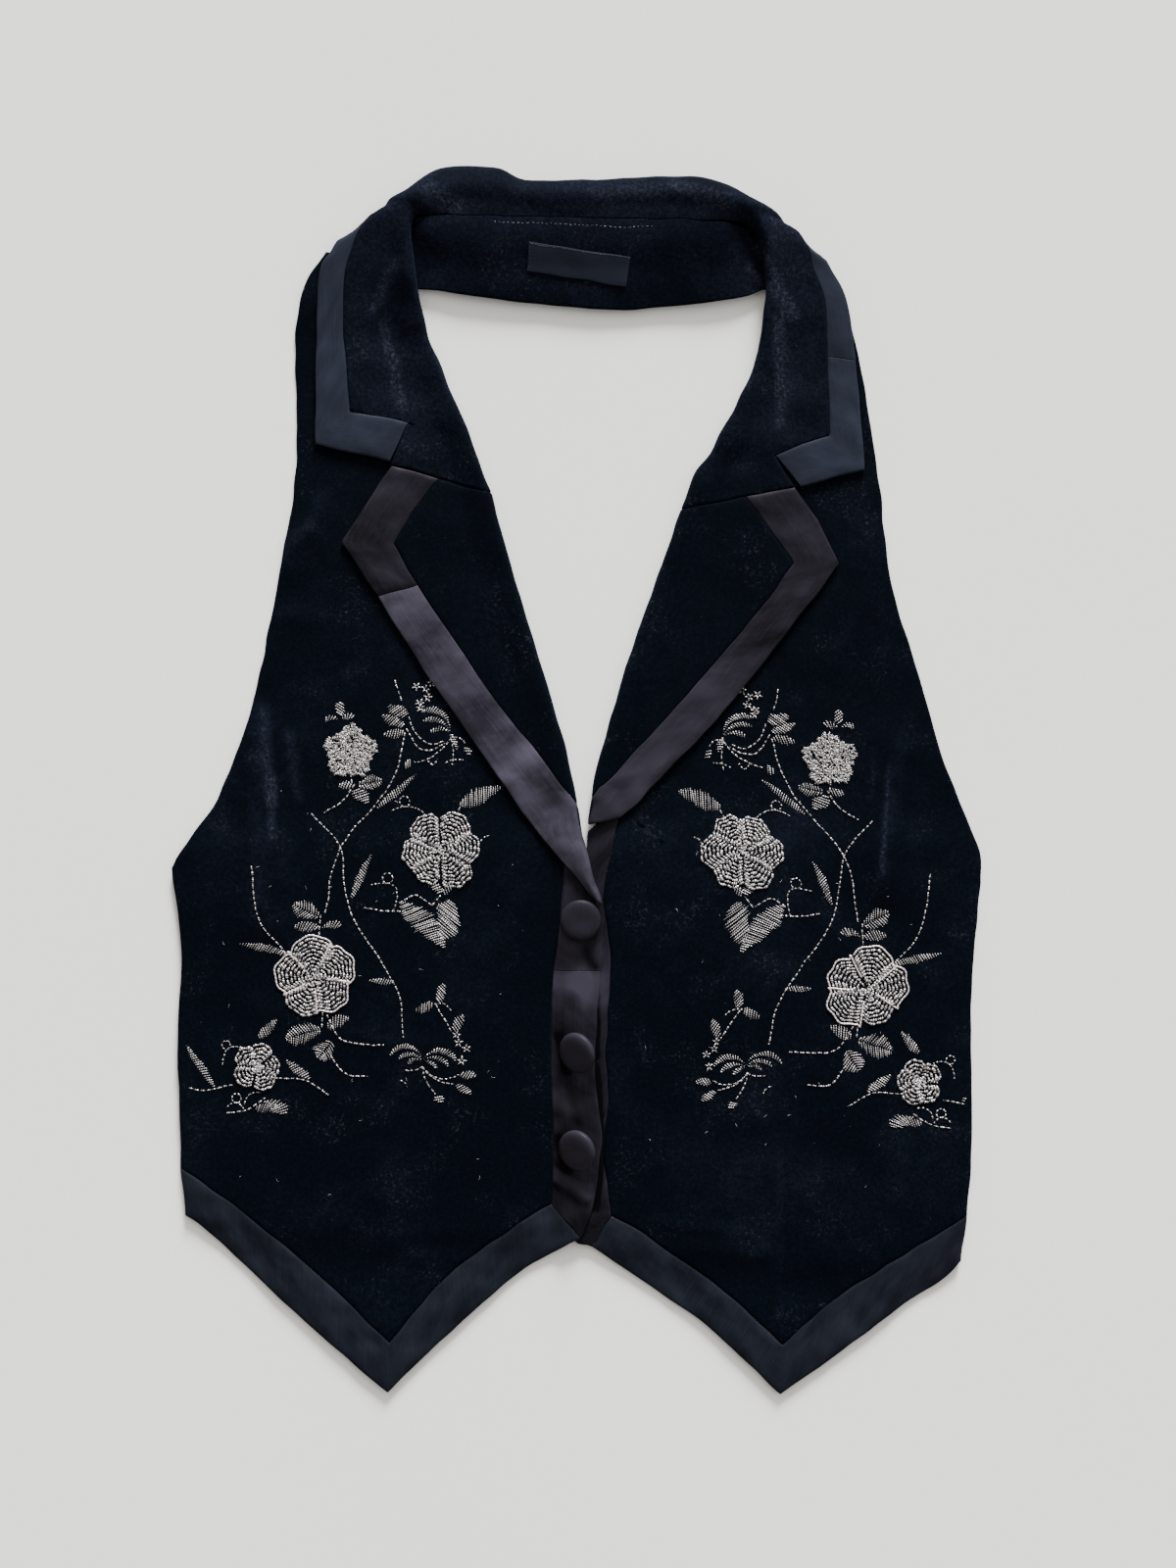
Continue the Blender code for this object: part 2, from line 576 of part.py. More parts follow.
def add_lapel(collection, side, table, tip, level, join, mirrored):
    """A lapel folded back at the neck edge, with its satin band."""
    paths = lapel_paths(table, tip, level)
    gaps = [HALF_GAP if seam > 2 * turn else SEAM_GAP for path, seam, turn in paths]
    velvet = [slice_path(path, HALF_GAP, seam - gap, turn, 4, 5)
              for (path, seam, turn), gap in zip(paths, gaps) if seam > TIGHT_ROLL * 2.4]
    satin = [slice_path(path, seam + gap, math.inf, turn, 4, 4, LEAST_TURN)
             for (path, seam, turn), gap in zip(paths, gaps)]
    flip = -1 if mirrored else 1
    velvet = trimmed(velvet, SEAM_GAP, HALF_GAP)
    add_sheet(collection, side + "_lapel", [row[::flip] for row in velvet], VELVET)
    satin = [row[::flip] for row in satin]
    if join is None:
        add_sheet(collection, side + "_lapel_band", trimmed(satin, SEAM_GAP, 0), SATIN)
        return
    cut = 2 * join
    upper = trimmed(satin[:cut + 1], SEAM_GAP, HALF_GAP)
    lower = trimmed(satin[cut:], HALF_GAP, 0)
    add_sheet(collection, side + "_lapel_band_upper", upper, SATIN)
    add_sheet(collection, side + "_lapel_band_lower", lower, SATIN)


def side_sections(table):
    """Collar sections over one strap, from the gorge up: velvet points, and satin points or None."""
    rows = []
    for edge, seam, outer in table:
        path, seam_at, turn = folded_path(edge, seam, outer or extended(edge, seam), front_level)
        velvet = slice_path(path, HALF_GAP, seam_at - HALF_GAP, turn, 4, 5)
        satin = None
        if outer:
            satin = slice_path(path, seam_at + HALF_GAP, math.inf, turn, 1, 2, LEAST_TURN)
        rows.append((velvet, satin))
    return rows


def neck_sections():
    """Collar sections round the back of the neck: velvet points and satin points."""
    rows = []
    for points in NECK_SECTIONS:
        dense = curve(points, 60)
        to_seam = np.argmin(np.linalg.norm(dense - np.array(points[-2]), axis=1))
        rows.append((resample(dense[:to_seam + 1], NECK_VELVET_SHARES),
                     resample(dense[to_seam:], NECK_SATIN_SHARES)))
    return rows


def extended(edge, seam):
    """A point a little past the seam, where the collar has no satin."""
    edge, seam = np.array(edge, dtype=float), np.array(seam, dtype=float)
    return seam + (seam - edge) * 0.1


def add_collar(collection):
    """Upper collar in one length round the neck, with its satin band in four lengths."""
    right = side_sections(RIGHT_COLLAR)
    neck = neck_sections()
    left = side_sections(LEFT_COLLAR)[::-1]
    velvet = between([velvet for velvet, satin in right + neck + left], (0, 0.5))
    add_sheet(collection, "upper_collar", trimmed(velvet, SEAM_GAP, SEAM_GAP), VELVET)
    satin = between([satin for velvet, satin in right + neck + left if satin is not None], (0, 0.5))
    first_turn = 2 * (len(right) - 3 + TURNED_OVER)
    last_turn = first_turn + 2 * (len(neck) - 2 * TURNED_OVER + 1)
    join = last_turn + 2 * TURNED_OVER
    lengths = {
        "right_collar_band": trimmed(satin[:first_turn + 1], 0, TURN_GAP),
        "back_collar_band": satin[first_turn + 2:last_turn - 1],
        "left_collar_band_upper": trimmed(satin[last_turn:join + 1], TURN_GAP, HALF_GAP),
        "left_collar_band_lower": trimmed(satin[join:], HALF_GAP, 0),
    }
    for name, rows in lengths.items():
        add_sheet(collection, name, rows, SATIN)


def add_neck_band(collection):
    """Neck band seen from its inside, from strap to strap behind the neck."""
    low = curve(BAND_BOTTOM_EDGE, 22)
    high = curve(BAND_TOP_EDGE, 22)
    left = curve((low[0], high[0]), 4)
    right = curve((low[-1], high[-1]), 4)
    sides = shrink((low, high, left, right))
    add_sheet(collection, "back_neck_band", raised(coons(*sides), front_level), VELVET)


def add_label(collection):
    """Blank woven label that lies on the neck band."""
    low = curve(LABEL_LOW, 8)
    high = curve(LABEL_HIGH, 8)
    left = curve((low[0], high[0]), 2)
    right = curve((low[-1], high[-1]), 2)
    lift = WALL / 2 + SEAM_GAP + LABEL_WALL / 2
    rows = raised(coons(low, high, left, right), front_level, lift)
    add_sheet(collection, "neck_label", rows, LABEL_WEAVE, LABEL_WALL)


def button_profile():
    """Half outline of a covered button: seat, rim and dome."""
    dome = [(BUTTON_RADIUS * math.cos(angle), BUTTON_RIM + BUTTON_DOME * math.sin(angle))
            for angle in np.linspace(0, math.pi / 2, 6)]
    dome[-1] = (0.0, dome[-1][1])
    return [(0.0, 0.0), (BUTTON_SEAT, 0.0), (BUTTON_RADIUS - 1.0, BUTTON_RIM - 1.2)] + dome


def add_button(collection, name, place, tilt, axis):
    """A satin-covered button that stands just clear of the placket band."""
    profile = button_profile()
    mesh = bpy.data.meshes.new(name)
    points = [(radius * MM, 0.0, height * MM) for radius, height in profile]
    edges = [(index, index + 1) for index in range(len(points) - 1)]
    mesh.from_pydata(points, edges, [])
    mesh.materials.append(finish(name, BUTTON_SATIN))
    piece = bpy.data.objects.new(name, mesh)
    collection.objects.link(piece)
    turn = piece.modifiers.new("turn", "SCREW")
    turn.axis = "Z"
    turn.steps = BUTTON_STEPS
    turn.render_steps = BUTTON_STEPS
    turn.use_merge_vertices = True
    turn.merge_threshold = 0.0001
    turn.use_smooth_shade = True
    turn.use_normal_calculate = True
    lean = math.radians(tilt)
    lowest = min(height * math.cos(lean) - radius * math.sin(lean) for radius, height in profile)
    ground = float(right_level(np.array(place))) + WALL / 2 + SEAM_GAP
    turned = Matrix.Rotation(-lean, 4, (math.cos(math.radians(axis)), math.sin(math.radians(axis)), 0))
    piece.rotation_euler = turned.to_euler()
    piece.location = (place[0] * MM, place[1] * MM, (ground - lowest) * MM)


def build():
    """The whole waistcoat."""
    for thing in list(bpy.data.objects):
        bpy.data.objects.remove(thing, do_unlink=True)
    collection = bpy.data.collections.new(NAME)
    bpy.context.scene.collection.children.link(collection)
    add_back_panel(collection)
    add_front(collection, "right_front", RIGHT, RIGHT_LAPEL, RIGHT_COLLAR, right_level, False)
    add_front(collection, "left_front", LEFT, LEFT_LAPEL, LEFT_COLLAR, front_level, True)
    add_hem_band(collection, "right_hem_band", RIGHT, right_level, False)
    add_hem_band(collection, "left_hem_band", LEFT, front_level, True)
    add_left_placket(collection)
    add_right_placket(collection)
    add_lapel(collection, "right", RIGHT_LAPEL, RIGHT_LAPEL_TIP, right_level, RIGHT_LAPEL_JOIN, False)
    add_lapel(collection, "left", LEFT_LAPEL, LEFT_LAPEL_TIP, front_level, None, True)
    add_collar(collection)
    add_neck_band(collection)
    add_label(collection)
    for name, (place, tilt, axis) in BUTTONS.items():
        add_button(collection, name, place, tilt, axis)


build()
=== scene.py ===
"""Halter-neck evening waistcoat in dark velvet with satin bands and silver embroidery, laid flat.

Tables are in millimetres and meshes in metres. +Z is up from the surface, +Y runs towards the
collar and +X towards the wearer's left side. "Right" and "left" are the wearer's.
"""

import logging
import math
from dataclasses import dataclass, field
from enum import Enum, IntEnum
from typing import Callable, Optional, Sequence

import bpy
import numpy as np
from mathutils import Matrix, Vector


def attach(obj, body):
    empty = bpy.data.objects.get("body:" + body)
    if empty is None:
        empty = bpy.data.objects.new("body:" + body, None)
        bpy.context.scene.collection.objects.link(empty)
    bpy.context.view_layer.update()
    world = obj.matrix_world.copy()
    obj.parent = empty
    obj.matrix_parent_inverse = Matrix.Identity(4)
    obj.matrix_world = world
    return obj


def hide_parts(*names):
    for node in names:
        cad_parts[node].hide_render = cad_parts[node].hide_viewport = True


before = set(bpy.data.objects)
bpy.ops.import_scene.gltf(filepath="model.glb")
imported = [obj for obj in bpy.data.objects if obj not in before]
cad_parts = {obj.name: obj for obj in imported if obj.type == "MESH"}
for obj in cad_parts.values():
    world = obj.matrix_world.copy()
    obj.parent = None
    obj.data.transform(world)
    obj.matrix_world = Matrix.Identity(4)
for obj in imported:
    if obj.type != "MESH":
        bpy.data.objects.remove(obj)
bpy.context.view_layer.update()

LOG = logging.getLogger("waistcoat")
Array = np.ndarray
Level = Callable[[Array], Array]
Colour = tuple[float, float, float]
Socket = bpy.types.NodeSocket

MM = 0.001
SEED = 20

# Walls of cloth, the gaps at seams, between layers and above the floor, and what they add up to
WALL = 1.5
LABEL_WALL = 0.7
SEAM_GAP = 0.06
HALF_GAP = SEAM_GAP / 2
TURN_GAP = 0.06
LAYER_SEAM = 0.3
LAYER_GAP = 0.8
FLOOR_GAP = 0.02
MID = FLOOR_GAP + WALL / 2
FOLDED = WALL + LAYER_GAP
OVER_BACK = WALL + LAYER_SEAM
LAP_LIFT = WALL + 0.6

# The roll of the lapels and the collar, and how their cloth settles past it
ROLL = 2.2
TIGHT_ROLL = FOLDED / 2
ROLL_SHARE = 0.4
ROLL_POINTS = 17
FLAT_STEPS = 24
SETTLE = 16.0
LEAST_TURN = 0.35
MOST_TURN = 0.7
FADE_SPANS = 1.75
NECK_GAP = 0.7
NECK_CLEAR = 3.0

# Where the fronts rise over the back panel, the lap and the neck band, and how far
BACK_TOP = -43.0
BACK_SLOPE = 25.0
BACK_MARGIN = 5.0
LAP_START = -12.0
LAP_RISE = 8.0
LAP_TOP = -28.0
NECK_START = 222.0
NECK_RISE = 30.0
NECK_LIFT = 2.3
NECK_MIDDLE = 6.0
NECK_FLAT = 62.0
BAND_EDGE_LIFT = 0.8
BAND_SLOPE_LIFT = 4.0
BAND_BOTTOM = 240.0
BAND_WIDTH = 43.0
BAND_TOP = ((-86, -76, -60, 62, 76, 88), (4.8, 8.8, 9.3, 9.2, 9.0, 6.0))
BAND_RISE_FROM, BAND_RISE_OVER = 260.0, 24.0
BAND_RISE_HALF, BAND_RISE_FADE = 88.0, 8.0
HEM_CURL, CURL_FROM, CURL_OVER = 1.4, 12.0, 42.0

# Steps of the solids' own grids, finer steps between them, and rows with straight corners
HEM_STEPS = (7, 6)
PLACKET_STEPS = 14
STRAP_STEPS = (2, 11)
FINE = 8
FINE_SHARES = [step / FINE for step in range(FINE)]
CURVE_STEPS = 12
LAPEL_CORNERS = 3
COLLAR_CORNERS = 6
SATIN_FROM = 2
SATIN_START = 0.1
LEAST_CROSSING = 0.2

# How a cloth's rim is rounded, alone and against its neighbours, and how far its dip, its swell
# and its wrinkles stay from its edges
RIM = 0.45
BUTTED_RIM = 0.15
JOINED_RIM = 0.1
RIM_STEPS = (0.05, 0.17, 0.45)
DIP_REACH = 1.2
CROWN_REACH = 5.0
WRINKLE_EDGE = 4.0

# Unevenness: all the cloth wavers from its drawn lines, and the fronts rise and fall slowly and
# quickly; each from crest to crest and in height
WAVER_SIZE, WAVER = 19.0, 0.22
SLOW_WAVES, SLOW_HEIGHT = 46.0, 0.22
QUICK_WAVES, QUICK_HEIGHT = 15.0, 0.07
WAVE_COUNT = 7
WAVE_PITCHES = (0.7, 1.5)


class Slot(Enum):
    """The record's material slots."""

    VELVET = "velvet"
    SATIN = "satin"
    BUTTON = "button_satin"
    LABEL = "woven_label"


class Wearer(Enum):
    """The wearer's sides, with the sign of their X."""

    RIGHT = -1
    LEFT = 1

    @property
    def word(self) -> str:
        """The side's word in names."""
        return self.name.lower()


class Leaf(Enum):
    """How a leaf's stitches lie."""

    PLAIN = "across"
    VEINED = "out from a vein"


class Pattern(IntEnum):
    """Which random pattern each unevenness follows."""

    SLOW = 3
    QUICK = 4
    HEM = 31
    PLACKET = 41
    LAPEL = 52
    COLLAR_BAND = 61
    COLLAR = 62
    WAVER_X = 71
    WAVER_Y = 72
    LINT = 90
    NECK = 98
    LABEL = 99


# Folds and creases of the fronts: from, to, half width and height
FOLDS = (
    ((-160, 17), (-158, -70), 15, 2.0),
    ((163, 17), (153, -49), 15, 2.0),
    ((-145, 110), (-131, 134), 10, 1.2),
    ((-120, -95), (-60, -150), 34, 1.0),
    ((70, -90), (130, -160), 34, 1.0),
)
CREASES = (
    ((-150, 116), (-136, 128), 4.0, 0.9),
    ((-136, 128), (-130, 144), 4.0, 0.8),
    ((-150, 84), (-131, 84), 4.5, 0.5),
    ((-163, 10), (-161, -62), 4.0, 0.9),
    ((-152, -2), (-149, -50), 4.0, 0.5),
    ((165, 16), (155, -46), 4.0, 0.9),
    ((176, -8), (171, -48), 5.0, 0.5),
    ((104, -186), (104.5, -272), 2.2, -0.5),
    ((-82, -241), (-54, -243), 3.0, 0.45),
    ((-90, -231), (-48, -226), 4.0, 0.35),
    ((40, -224), (82, -229), 3.0, 0.45),
    ((60, -238), (96, -240), 4.0, 0.35),
    ((-60, 60), (-52, 96), 6.0, 0.6),
    ((150, 96), (132, 60), 6.0, 0.4),
    ((86, -74), (120, -56), 7.0, 0.4),
    ((-118, -128), (-70, -134), 5.0, 0.3),
)

# Folds of the placket, and the light and shade painted on its satin: from, to, half width and
# height
PLACKET_FOLDS = (
    ((-11, -197), (7, -207), 1.5, 0.7), ((-11, -204), (2, -213), 1.6, 0.6),
    ((-9, -90), (10, -93), 4.0, 0.35), ((-9, -116), (4, -128), 3.5, 0.4),
    ((-8, -160), (-3, -176), 3.0, 0.4), ((8, -150), (9, -176), 2.5, 0.35),
    ((9, -100), (7, -122), 2.5, 0.3), ((-9, -232), (-2, -222), 4.0, 0.3),
)
# Painted highlights, and painted shade such as the dark crescents beside the buttons
PLACKET_TONES = (
    ((-8, -80), (8, -88), 7, 0.35), ((-10, -101), (3, -102), 5.5, 0.95),
    ((3, -97), (5, -112), 4, 0.5), ((-10, -160), (-4, -168), 4, 0.3),
    ((-10, -199), (6, -210), 2.4, 0.5), ((12, -24), (12, -75), 9, -0.12),
    ((12, -100), (14, -112), 4, 0.35), ((-8, -222), (0, -214), 6, 0.2),
    ((0, -20), (0, -235), 40, 0.15), ((-5, -128), (0, -152), 12, -0.1),
    ((-5, -188), (2, -226), 14, -0.14), ((-9, -130), (-5, -147), 2.4, -0.4),
    ((-9, -181), (-5, -197), 2.4, -0.4), ((-11, -195), (5, -204), 1.5, -0.2),
    ((-11, -205), (5, -215), 1.6, -0.2), ((-9, -168), (1, -172), 3, -0.16),
    ((5, -86), (9, -94), 3, -0.5),
)
# The shadow on the lower band along the upper one's edge
UNDERLAP_TONES = (
    ((10.3, -146), (11.8, -170), 1.5, -0.7), ((11.8, -170), (13.3, -187), 1.6, -0.7),
    ((13.3, -187), (9.8, -216), 1.7, -0.7), ((11, -110), (11, -140), 1.3, -0.4),
)
# Where the collar's pile is brushed over
COLLAR_TONES = (
    ((-92, 190), (-86, 285), 26, 0.07), ((116, 180), (104, 270), 22, 0.07),
    ((-70, 292), (80, 290), 16, 0.14), ((-60, 262), (60, 262), 14, 0.06),
    ((-98, 214), (-84, 180), 9, 0.06),
    ((84, 262), (112, 205), 6, 0.09), ((-110, 262), (-92, 285), 8, 0.08),
    ((-100, 230), (100, 230), 90, 0.07),
    ((103, 236), (104, 182), 2.6, 0.34), ((92, 272), (112, 236), 2.4, 0.32),
    ((88, 262), (108, 238), 2, 0.28), ((-98, 232), (-88, 190), 2.6, 0.28),
    ((-92, 262), (-104, 240), 3, 0.22), ((-74, 300), (-60, 292), 4, 0.22),
    ((50, 302), (76, 294), 4, 0.24), ((10, 298), (40, 300), 5, 0.16),
    ((-70, 214), (-58, 190), 2, 0.22),
)
# Where the fronts' pile is crushed in lines, lighter partly as a painted sheen along the folds
FRONT_TONES = (
    ((-160, 36), (-155, -10), 3, 0.32), ((-155, 2), (-155, -28), 2, 0.32),
    ((-146, 24), (-142, -8), 3, 0.22), ((159, 8), (155, -50), 1.3, 0.26),
    ((152, 16), (150, -9), 1.5, 0.12), ((-30, -60), (-60, -100), 12, 0.06),
    ((60, -190), (110, -205), 14, 0.06),
)
# Painted sheen and painted shade across the lapels' satin bands: from, to, half width and height
LEFT_LAPEL_TONES = (
    ((72, 40), (22, -6), 22, 0.38), ((104, 118), (120, 122), 8, 0.12),
    ((30, -6), (42, 12), 5, 0.34), ((48, 14), (60, 32), 6, -0.06), ((74, 40), (88, 58), 6, 0.16),
    ((88, 62), (102, 78), 6, -0.14),
)
RIGHT_LAPEL_TONES = (
    ((-96, 84), (-78, 95), 6, 0.45), ((-87, 67), (-70, 78), 7, -0.22),
    ((-73, 49), (-56, 61), 7, 0.2), ((-57, 29), (-40, 41), 7, -0.26),
    ((-39, 4), (-20, 16), 6, 0.55), ((-24, -14), (-8, -4), 4, -0.12),
    ((-116, 146), (-90, 152), 7, 0.22), ((-112, 122), (-96, 130), 7, -0.12),
)

# Outlines of the right front, each from bottom to top or from outside to inside
RIGHT = {
    "side": ((-201, -197), (-203, -134), (-201, -89), (-203, -66), (-206, -44)),
    "armhole": ((-206, -44), (-202, -36), (-186, -14), (-175.5, 9), (-167.5, 31), (-158.5, 69),
                (-150, 114), (-144.5, 144), (-142.5, 174), (-143.5, 219), (-142.5, 234),
                (-137, 256), (-127, 269.5)),
    "strap_end": ((-127, 269.5), (-118, 268)),
    "strap_seam": ((-118, 268), (-86, 247)),
    "hem_seam_out": ((-201, -197), (-189, -205), (-154.7, -231), (-118.5, -263), (-95.5, -286)),
    "hem_seam_in": ((-95.5, -286), (-67, -253), (-36.7, -230), (-23.5, -221), (-12.5, -215)),
    "hem_side": ((-201, -197), (-199, -221)),
    "hem_out": ((-199, -221), (-185.5, -231), (-147, -267), (-114.5, -296), (-96, -311)),
    "hem_in": ((-96, -311), (-71, -287), (-33, -253), (-15.5, -242), (2.5, -232)),
    "placket_seam": ((-12.5, -215), (-11.7, -180), (-13, -140), (-12, -101), (-9.2, -79),
                     (-5.7, -41)),
    "placket_top": ((-5.7, -41), (0.7, -36)),
    "placket_edge": ((2.5, -232), (8.9, -214), (13, -180), (9.7, -150), (11.5, -109), (14.2, -70)),
    "placket_fold": ((14.2, -70), (11.6, -66.8), (5.4, -50.4), (1.5, -40), (0.7, -36)),
    "neck_end": ((-83.6, 236), (-86, 247)),
}

# Outlines of the left front
LEFT = {
    "side": ((199, -221), (201.5, -185), (201, -126), (202.5, -89), (206, -51)),
    "armhole": ((206, -51), (205.5, -36), (194, -6), (185.5, 16), (179, 39), (170, 69),
                (163, 91), (158.5, 114), (155.5, 144), (152.5, 166), (146.5, 204), (141, 229),
                (135, 246), (126, 259)),
    "strap_end": ((126, 259), (119, 259)),
    "strap_seam": ((119, 259), (101.5, 245)),
    "hem_seam_out": ((199, -221), (181, -232), (137, -260), (118, -275), (105, -286.5)),
    "hem_seam_in": ((105, -286.5), (77, -261), (42, -235.5), (31.5, -228), (18, -221)),
    "hem_side": ((199, -221), (196, -244)),
    "hem_out": ((196, -244), (185, -255), (168.5, -265), (134, -291), (104, -312)),
    "hem_in": ((104, -312), (94.5, -303), (68.5, -279), (53.5, -268), (24.5, -248), (8, -237)),
    "placket_seam": ((18, -221), (14, -187), (16.5, -164), (15.3, -134), (17.5, -89), (14, -60),
                     (17.5, -38), (22, -18)),
    "placket_top": ((22, -18), (11.6, -13)),
    "placket_edge": ((8, -237), (-3, -226), (-3, -150), (-2.5, -58)),
    "placket_fold": ((-2.5, -58), (4.6, -36), (5.6, -30), (6.2, -25.5), (10.6, -21.5),
                     (11.6, -13)),
    "neck_end": ((99, 232), (101.5, 245)),
}

# Lapels: each row has the rolled neck edge, the seam with the satin band and the band's edge
RIGHT_LAPEL = (
    ((-44.2, 147), (-70, 154), (-94, 161)),
    ((-40.5, 134), (-83.5, 137.5), (-107, 141)),
    ((-36.5, 119), (-93, 121), (-119.5, 122)),
    ((-30, 97), (-81, 100), (-101, 94)),
    ((-20.5, 66), (-60.5, 69.5), (-81, 62)),
    ((-12, 38), (-39.5, 39), (-60.5, 32)),
    ((-5, 13), (-18, 12.5), (-38.5, 0.5)),
    ((-2.5, 1), (-8.2, -1), (-30, -12)),
    ((0, -12), (0, -12), (-20, -25.5)),
    ((3.2, -29), (3.2, -29), (-9.8, -37.5)),
    ((8.6, -50), (8.6, -50), (0.4, -48.6)),
    ((12.7, -62.4), (12.7, -62.4), (6.9, -57.6)),
)
LEFT_LAPEL = (
    ((54, 138.8), (86, 145), (111, 150)),
    ((50, 127), (98.5, 128.5), (123, 133)),
    ((44.5, 111), (111, 111.5), (134, 111)),
    ((39.5, 97), (98.5, 94), (117.5, 89)),
    ((29.5, 69), (75, 65.5), (94.5, 59.5)),
    ((20.5, 40), (50, 37), (72, 32)),
    ((13, 14), (27, 12), (48, 7)),
    ((10.3, 3), (17, 1), (39, -2.5)),
    ((8.2, -8), (8.2, -8), (32, -10)),
    ((6.6, -22), (6.6, -22), (22.5, -18.5)),
)

# Collar over each strap: neck edge, seam with the satin band, and the band's edge
RIGHT_COLLAR = (
    ((-44.2, 147), (-94.6, 161.6), None),
    ((-49.5, 161), (-90, 172.5), None),
    ((-55, 176), (-85.2, 182.8), (-95, 163)),
    ((-58.2, 184), (-100, 185.8), (-113.5, 167)),
    ((-61, 191), (-115.5, 188.3), (-133, 171.5)),
    ((-65.5, 201.5), (-116.3, 200), (-132.7, 188)),
    ((-70, 212), (-117, 212), (-132.5, 206)),
    ((-75.5, 225), (-118.5, 226), (-132.2, 224)),
)
LEFT_COLLAR = (
    ((54, 138.8), (111.3, 150.3), None),
    ((62, 158), (106, 158), None),
    ((70, 170), (101.5, 166), (114.5, 150)),
    ((73.5, 176), (115, 172), (131, 154.5)),
    ((77, 182), (129, 176), (147, 159)),
    ((83.5, 195), (128.8, 190), (145.6, 176)),
    ((90, 208), (128.3, 203), (144, 196)),
    ((93.5, 219), (127.6, 216), (142.2, 214.5)),
)

# Collar round the back of the neck, in sections from the right to the left: neck seam, rise,
# crest, shoulder of the fall, turn, satin seam and edge, each x, y, z
TURNED_OVER = 3
NECK_VELVET_SHARES = (0, 0.06, 0.12, 0.18, 0.26, 0.38, 0.52, 0.67, 0.83, 0.9985)
NECK_SATIN_SHARES = (0.003, 0.34, 0.67, 1)
NECK_SECTIONS = (
    ((-84, 252.3, 4.9), (-81.5, 252.5, 7.2), (-84, 253, 9.6), (-95, 254, 6.8), (-106, 255.5, 5.5),
     (-117.6, 257, 5.3), (-130.8, 258.5, 5.2)),
    ((-86.5, 271, 5.3), (-84.3, 272.5, 8), (-86.5, 274, 11), (-95.5, 275, 8.6), (-105, 275, 6.6),
     (-113.4, 272.8, 5.6), (-125, 268.4, 5.3)),
    ((-84.6, 281.5, 6.8), (-84.2, 282.5, 9.5), (-87.5, 285, 12), (-97, 286, 9.4),
     (-103.5, 285, 7.4), (-108.6, 282.4, 5.8), (-120.4, 274.8, 4.6)),
    ((-80.5, 287.8, 8.4), (-82, 289.5, 10.6), (-87, 293, 12.2), (-96.6, 291.3, 8.2),
     (-101, 288.4, 6.0), (-103.4, 286.2, 3.6), (-112, 270, 0.8)),
    ((-72, 287.6, 9.2), (-76, 292, 11.4), (-82.5, 297.6, 12.2), (-92, 296.6, 7),
     (-94.6, 289.5, 1.4), (-96.5, 277, 0.8), (-99, 265, 0.8)),
    ((-60, 287.2, 9.3), (-62, 293, 10.0), (-65.5, 302, 11.4), (-68.5, 310.5, 6.5),
     (-71, 303, 1.2), (-76, 273, 0.8), (-78, 260, 0.8)),
    ((-40, 286.8, 9.3), (-40.5, 293, 9.8), (-41, 303, 11.2), (-41.5, 311.5, 6.8),
     (-41.5, 304, 1.2), (-42, 273, 0.8), (-42, 260, 0.8)),
    ((-22, 286.3, 9.3), (-22, 291, 9.7), (-22, 299, 10.8), (-22, 305, 6.4), (-22, 298, 1.2),
     (-22, 271, 0.8), (-22, 258, 0.8)),
    ((30, 285.3, 9.3), (30, 291, 9.7), (30, 299, 10.8), (30, 305.8, 6.4), (30, 298.5, 1.2),
     (30, 271, 0.8), (30, 258, 0.8)),
    ((62, 284.8, 9.3), (63, 291, 9.9), (64.5, 299.5, 11.2), (65.5, 305.8, 6.5), (66, 298, 1.2),
     (66, 268, 0.8), (67, 255, 0.8)),
    ((78, 284, 9.2), (82, 288.5, 11.2), (88, 293, 12.4), (99, 290, 7), (102, 282, 1.4),
     (101, 269, 0.8), (103, 257, 0.8)),
    ((87, 282.4, 8.6), (89, 284, 10.6), (93, 286.5, 12), (103, 284, 8.2), (109, 281, 5.6),
     (111.8, 277.5, 3.4), (116, 260.5, 0.8)),
    ((92.6, 275, 6.8), (93, 276.3, 9.5), (96.5, 278, 12), (104.5, 277.5, 9.4), (111.5, 275.4, 7.4),
     (116.8, 271.8, 5.8), (126, 264.6, 4.8)),
    ((98.5, 262, 5.3), (96, 264, 8), (98, 265.5, 11), (105.5, 266, 8.6), (113, 265, 6.6),
     (119.6, 262.5, 5.5), (131, 258.5, 5.3)),
    ((98.8, 243, 4.6), (96.2, 243, 7), (98.6, 243.3, 9.3), (107, 243.5, 6.7), (116.5, 243, 5.4),
     (126, 242.5, 5.2), (138, 243, 5.1)),
)

# Neck band behind the neck, label and back panel
BAND_BOTTOM_EDGE = ((-86, 247), (-81, 250.8), (-31, 244), (9.5, 240.5), (27, 240), (61.5, 243),
                    (86, 246.5), (96, 250.4), (101.5, 245))
BAND_TOP_EDGE = ((-118, 268), (-98, 280), (-84, 285.8), (-60, 286.9), (-22, 286), (30, 285),
                 (62, 284.5), (84, 281.6), (104, 272), (119, 259))
LABEL_LOW = ((-25, 259), (25.3, 251))
LABEL_HIGH = ((-24, 273.6), (27.5, 265.7))
BACK_LOW = ((-199.8, -215.5), (197.5, -236))
BACK_RIGHT_SIDE = ((-199.8, -215.5), (-202, -190), (-202, -134), (-200, -89), (-204.5, -43.5))
BACK_LEFT_SIDE = ((197.5, -236), (200.4, -185), (200, -126), (201.5, -89), (204.5, -50))


def ease(value: Array) -> Array:
    """Smooth step from 0 to 1."""
    share = np.clip(value, 0.0, 1.0)
    return share * share * (3.0 - 2.0 * share)


def catmull(four: Sequence[Array], share: Array) -> Array:
    """Points of one Catmull-Rom span between the middle two of four points.

    Args:
        four: The points, in order.
        share: Shares of the way along the span.

    Returns:
        A point for each share.
    """
    before, first, second, after = four
    return 0.5 * (2 * first + (second - before) * share
                  + (2 * before - 5 * first + 4 * second - after) * share ** 2
                  + (3 * first - before - 3 * second + after) * share ** 3)


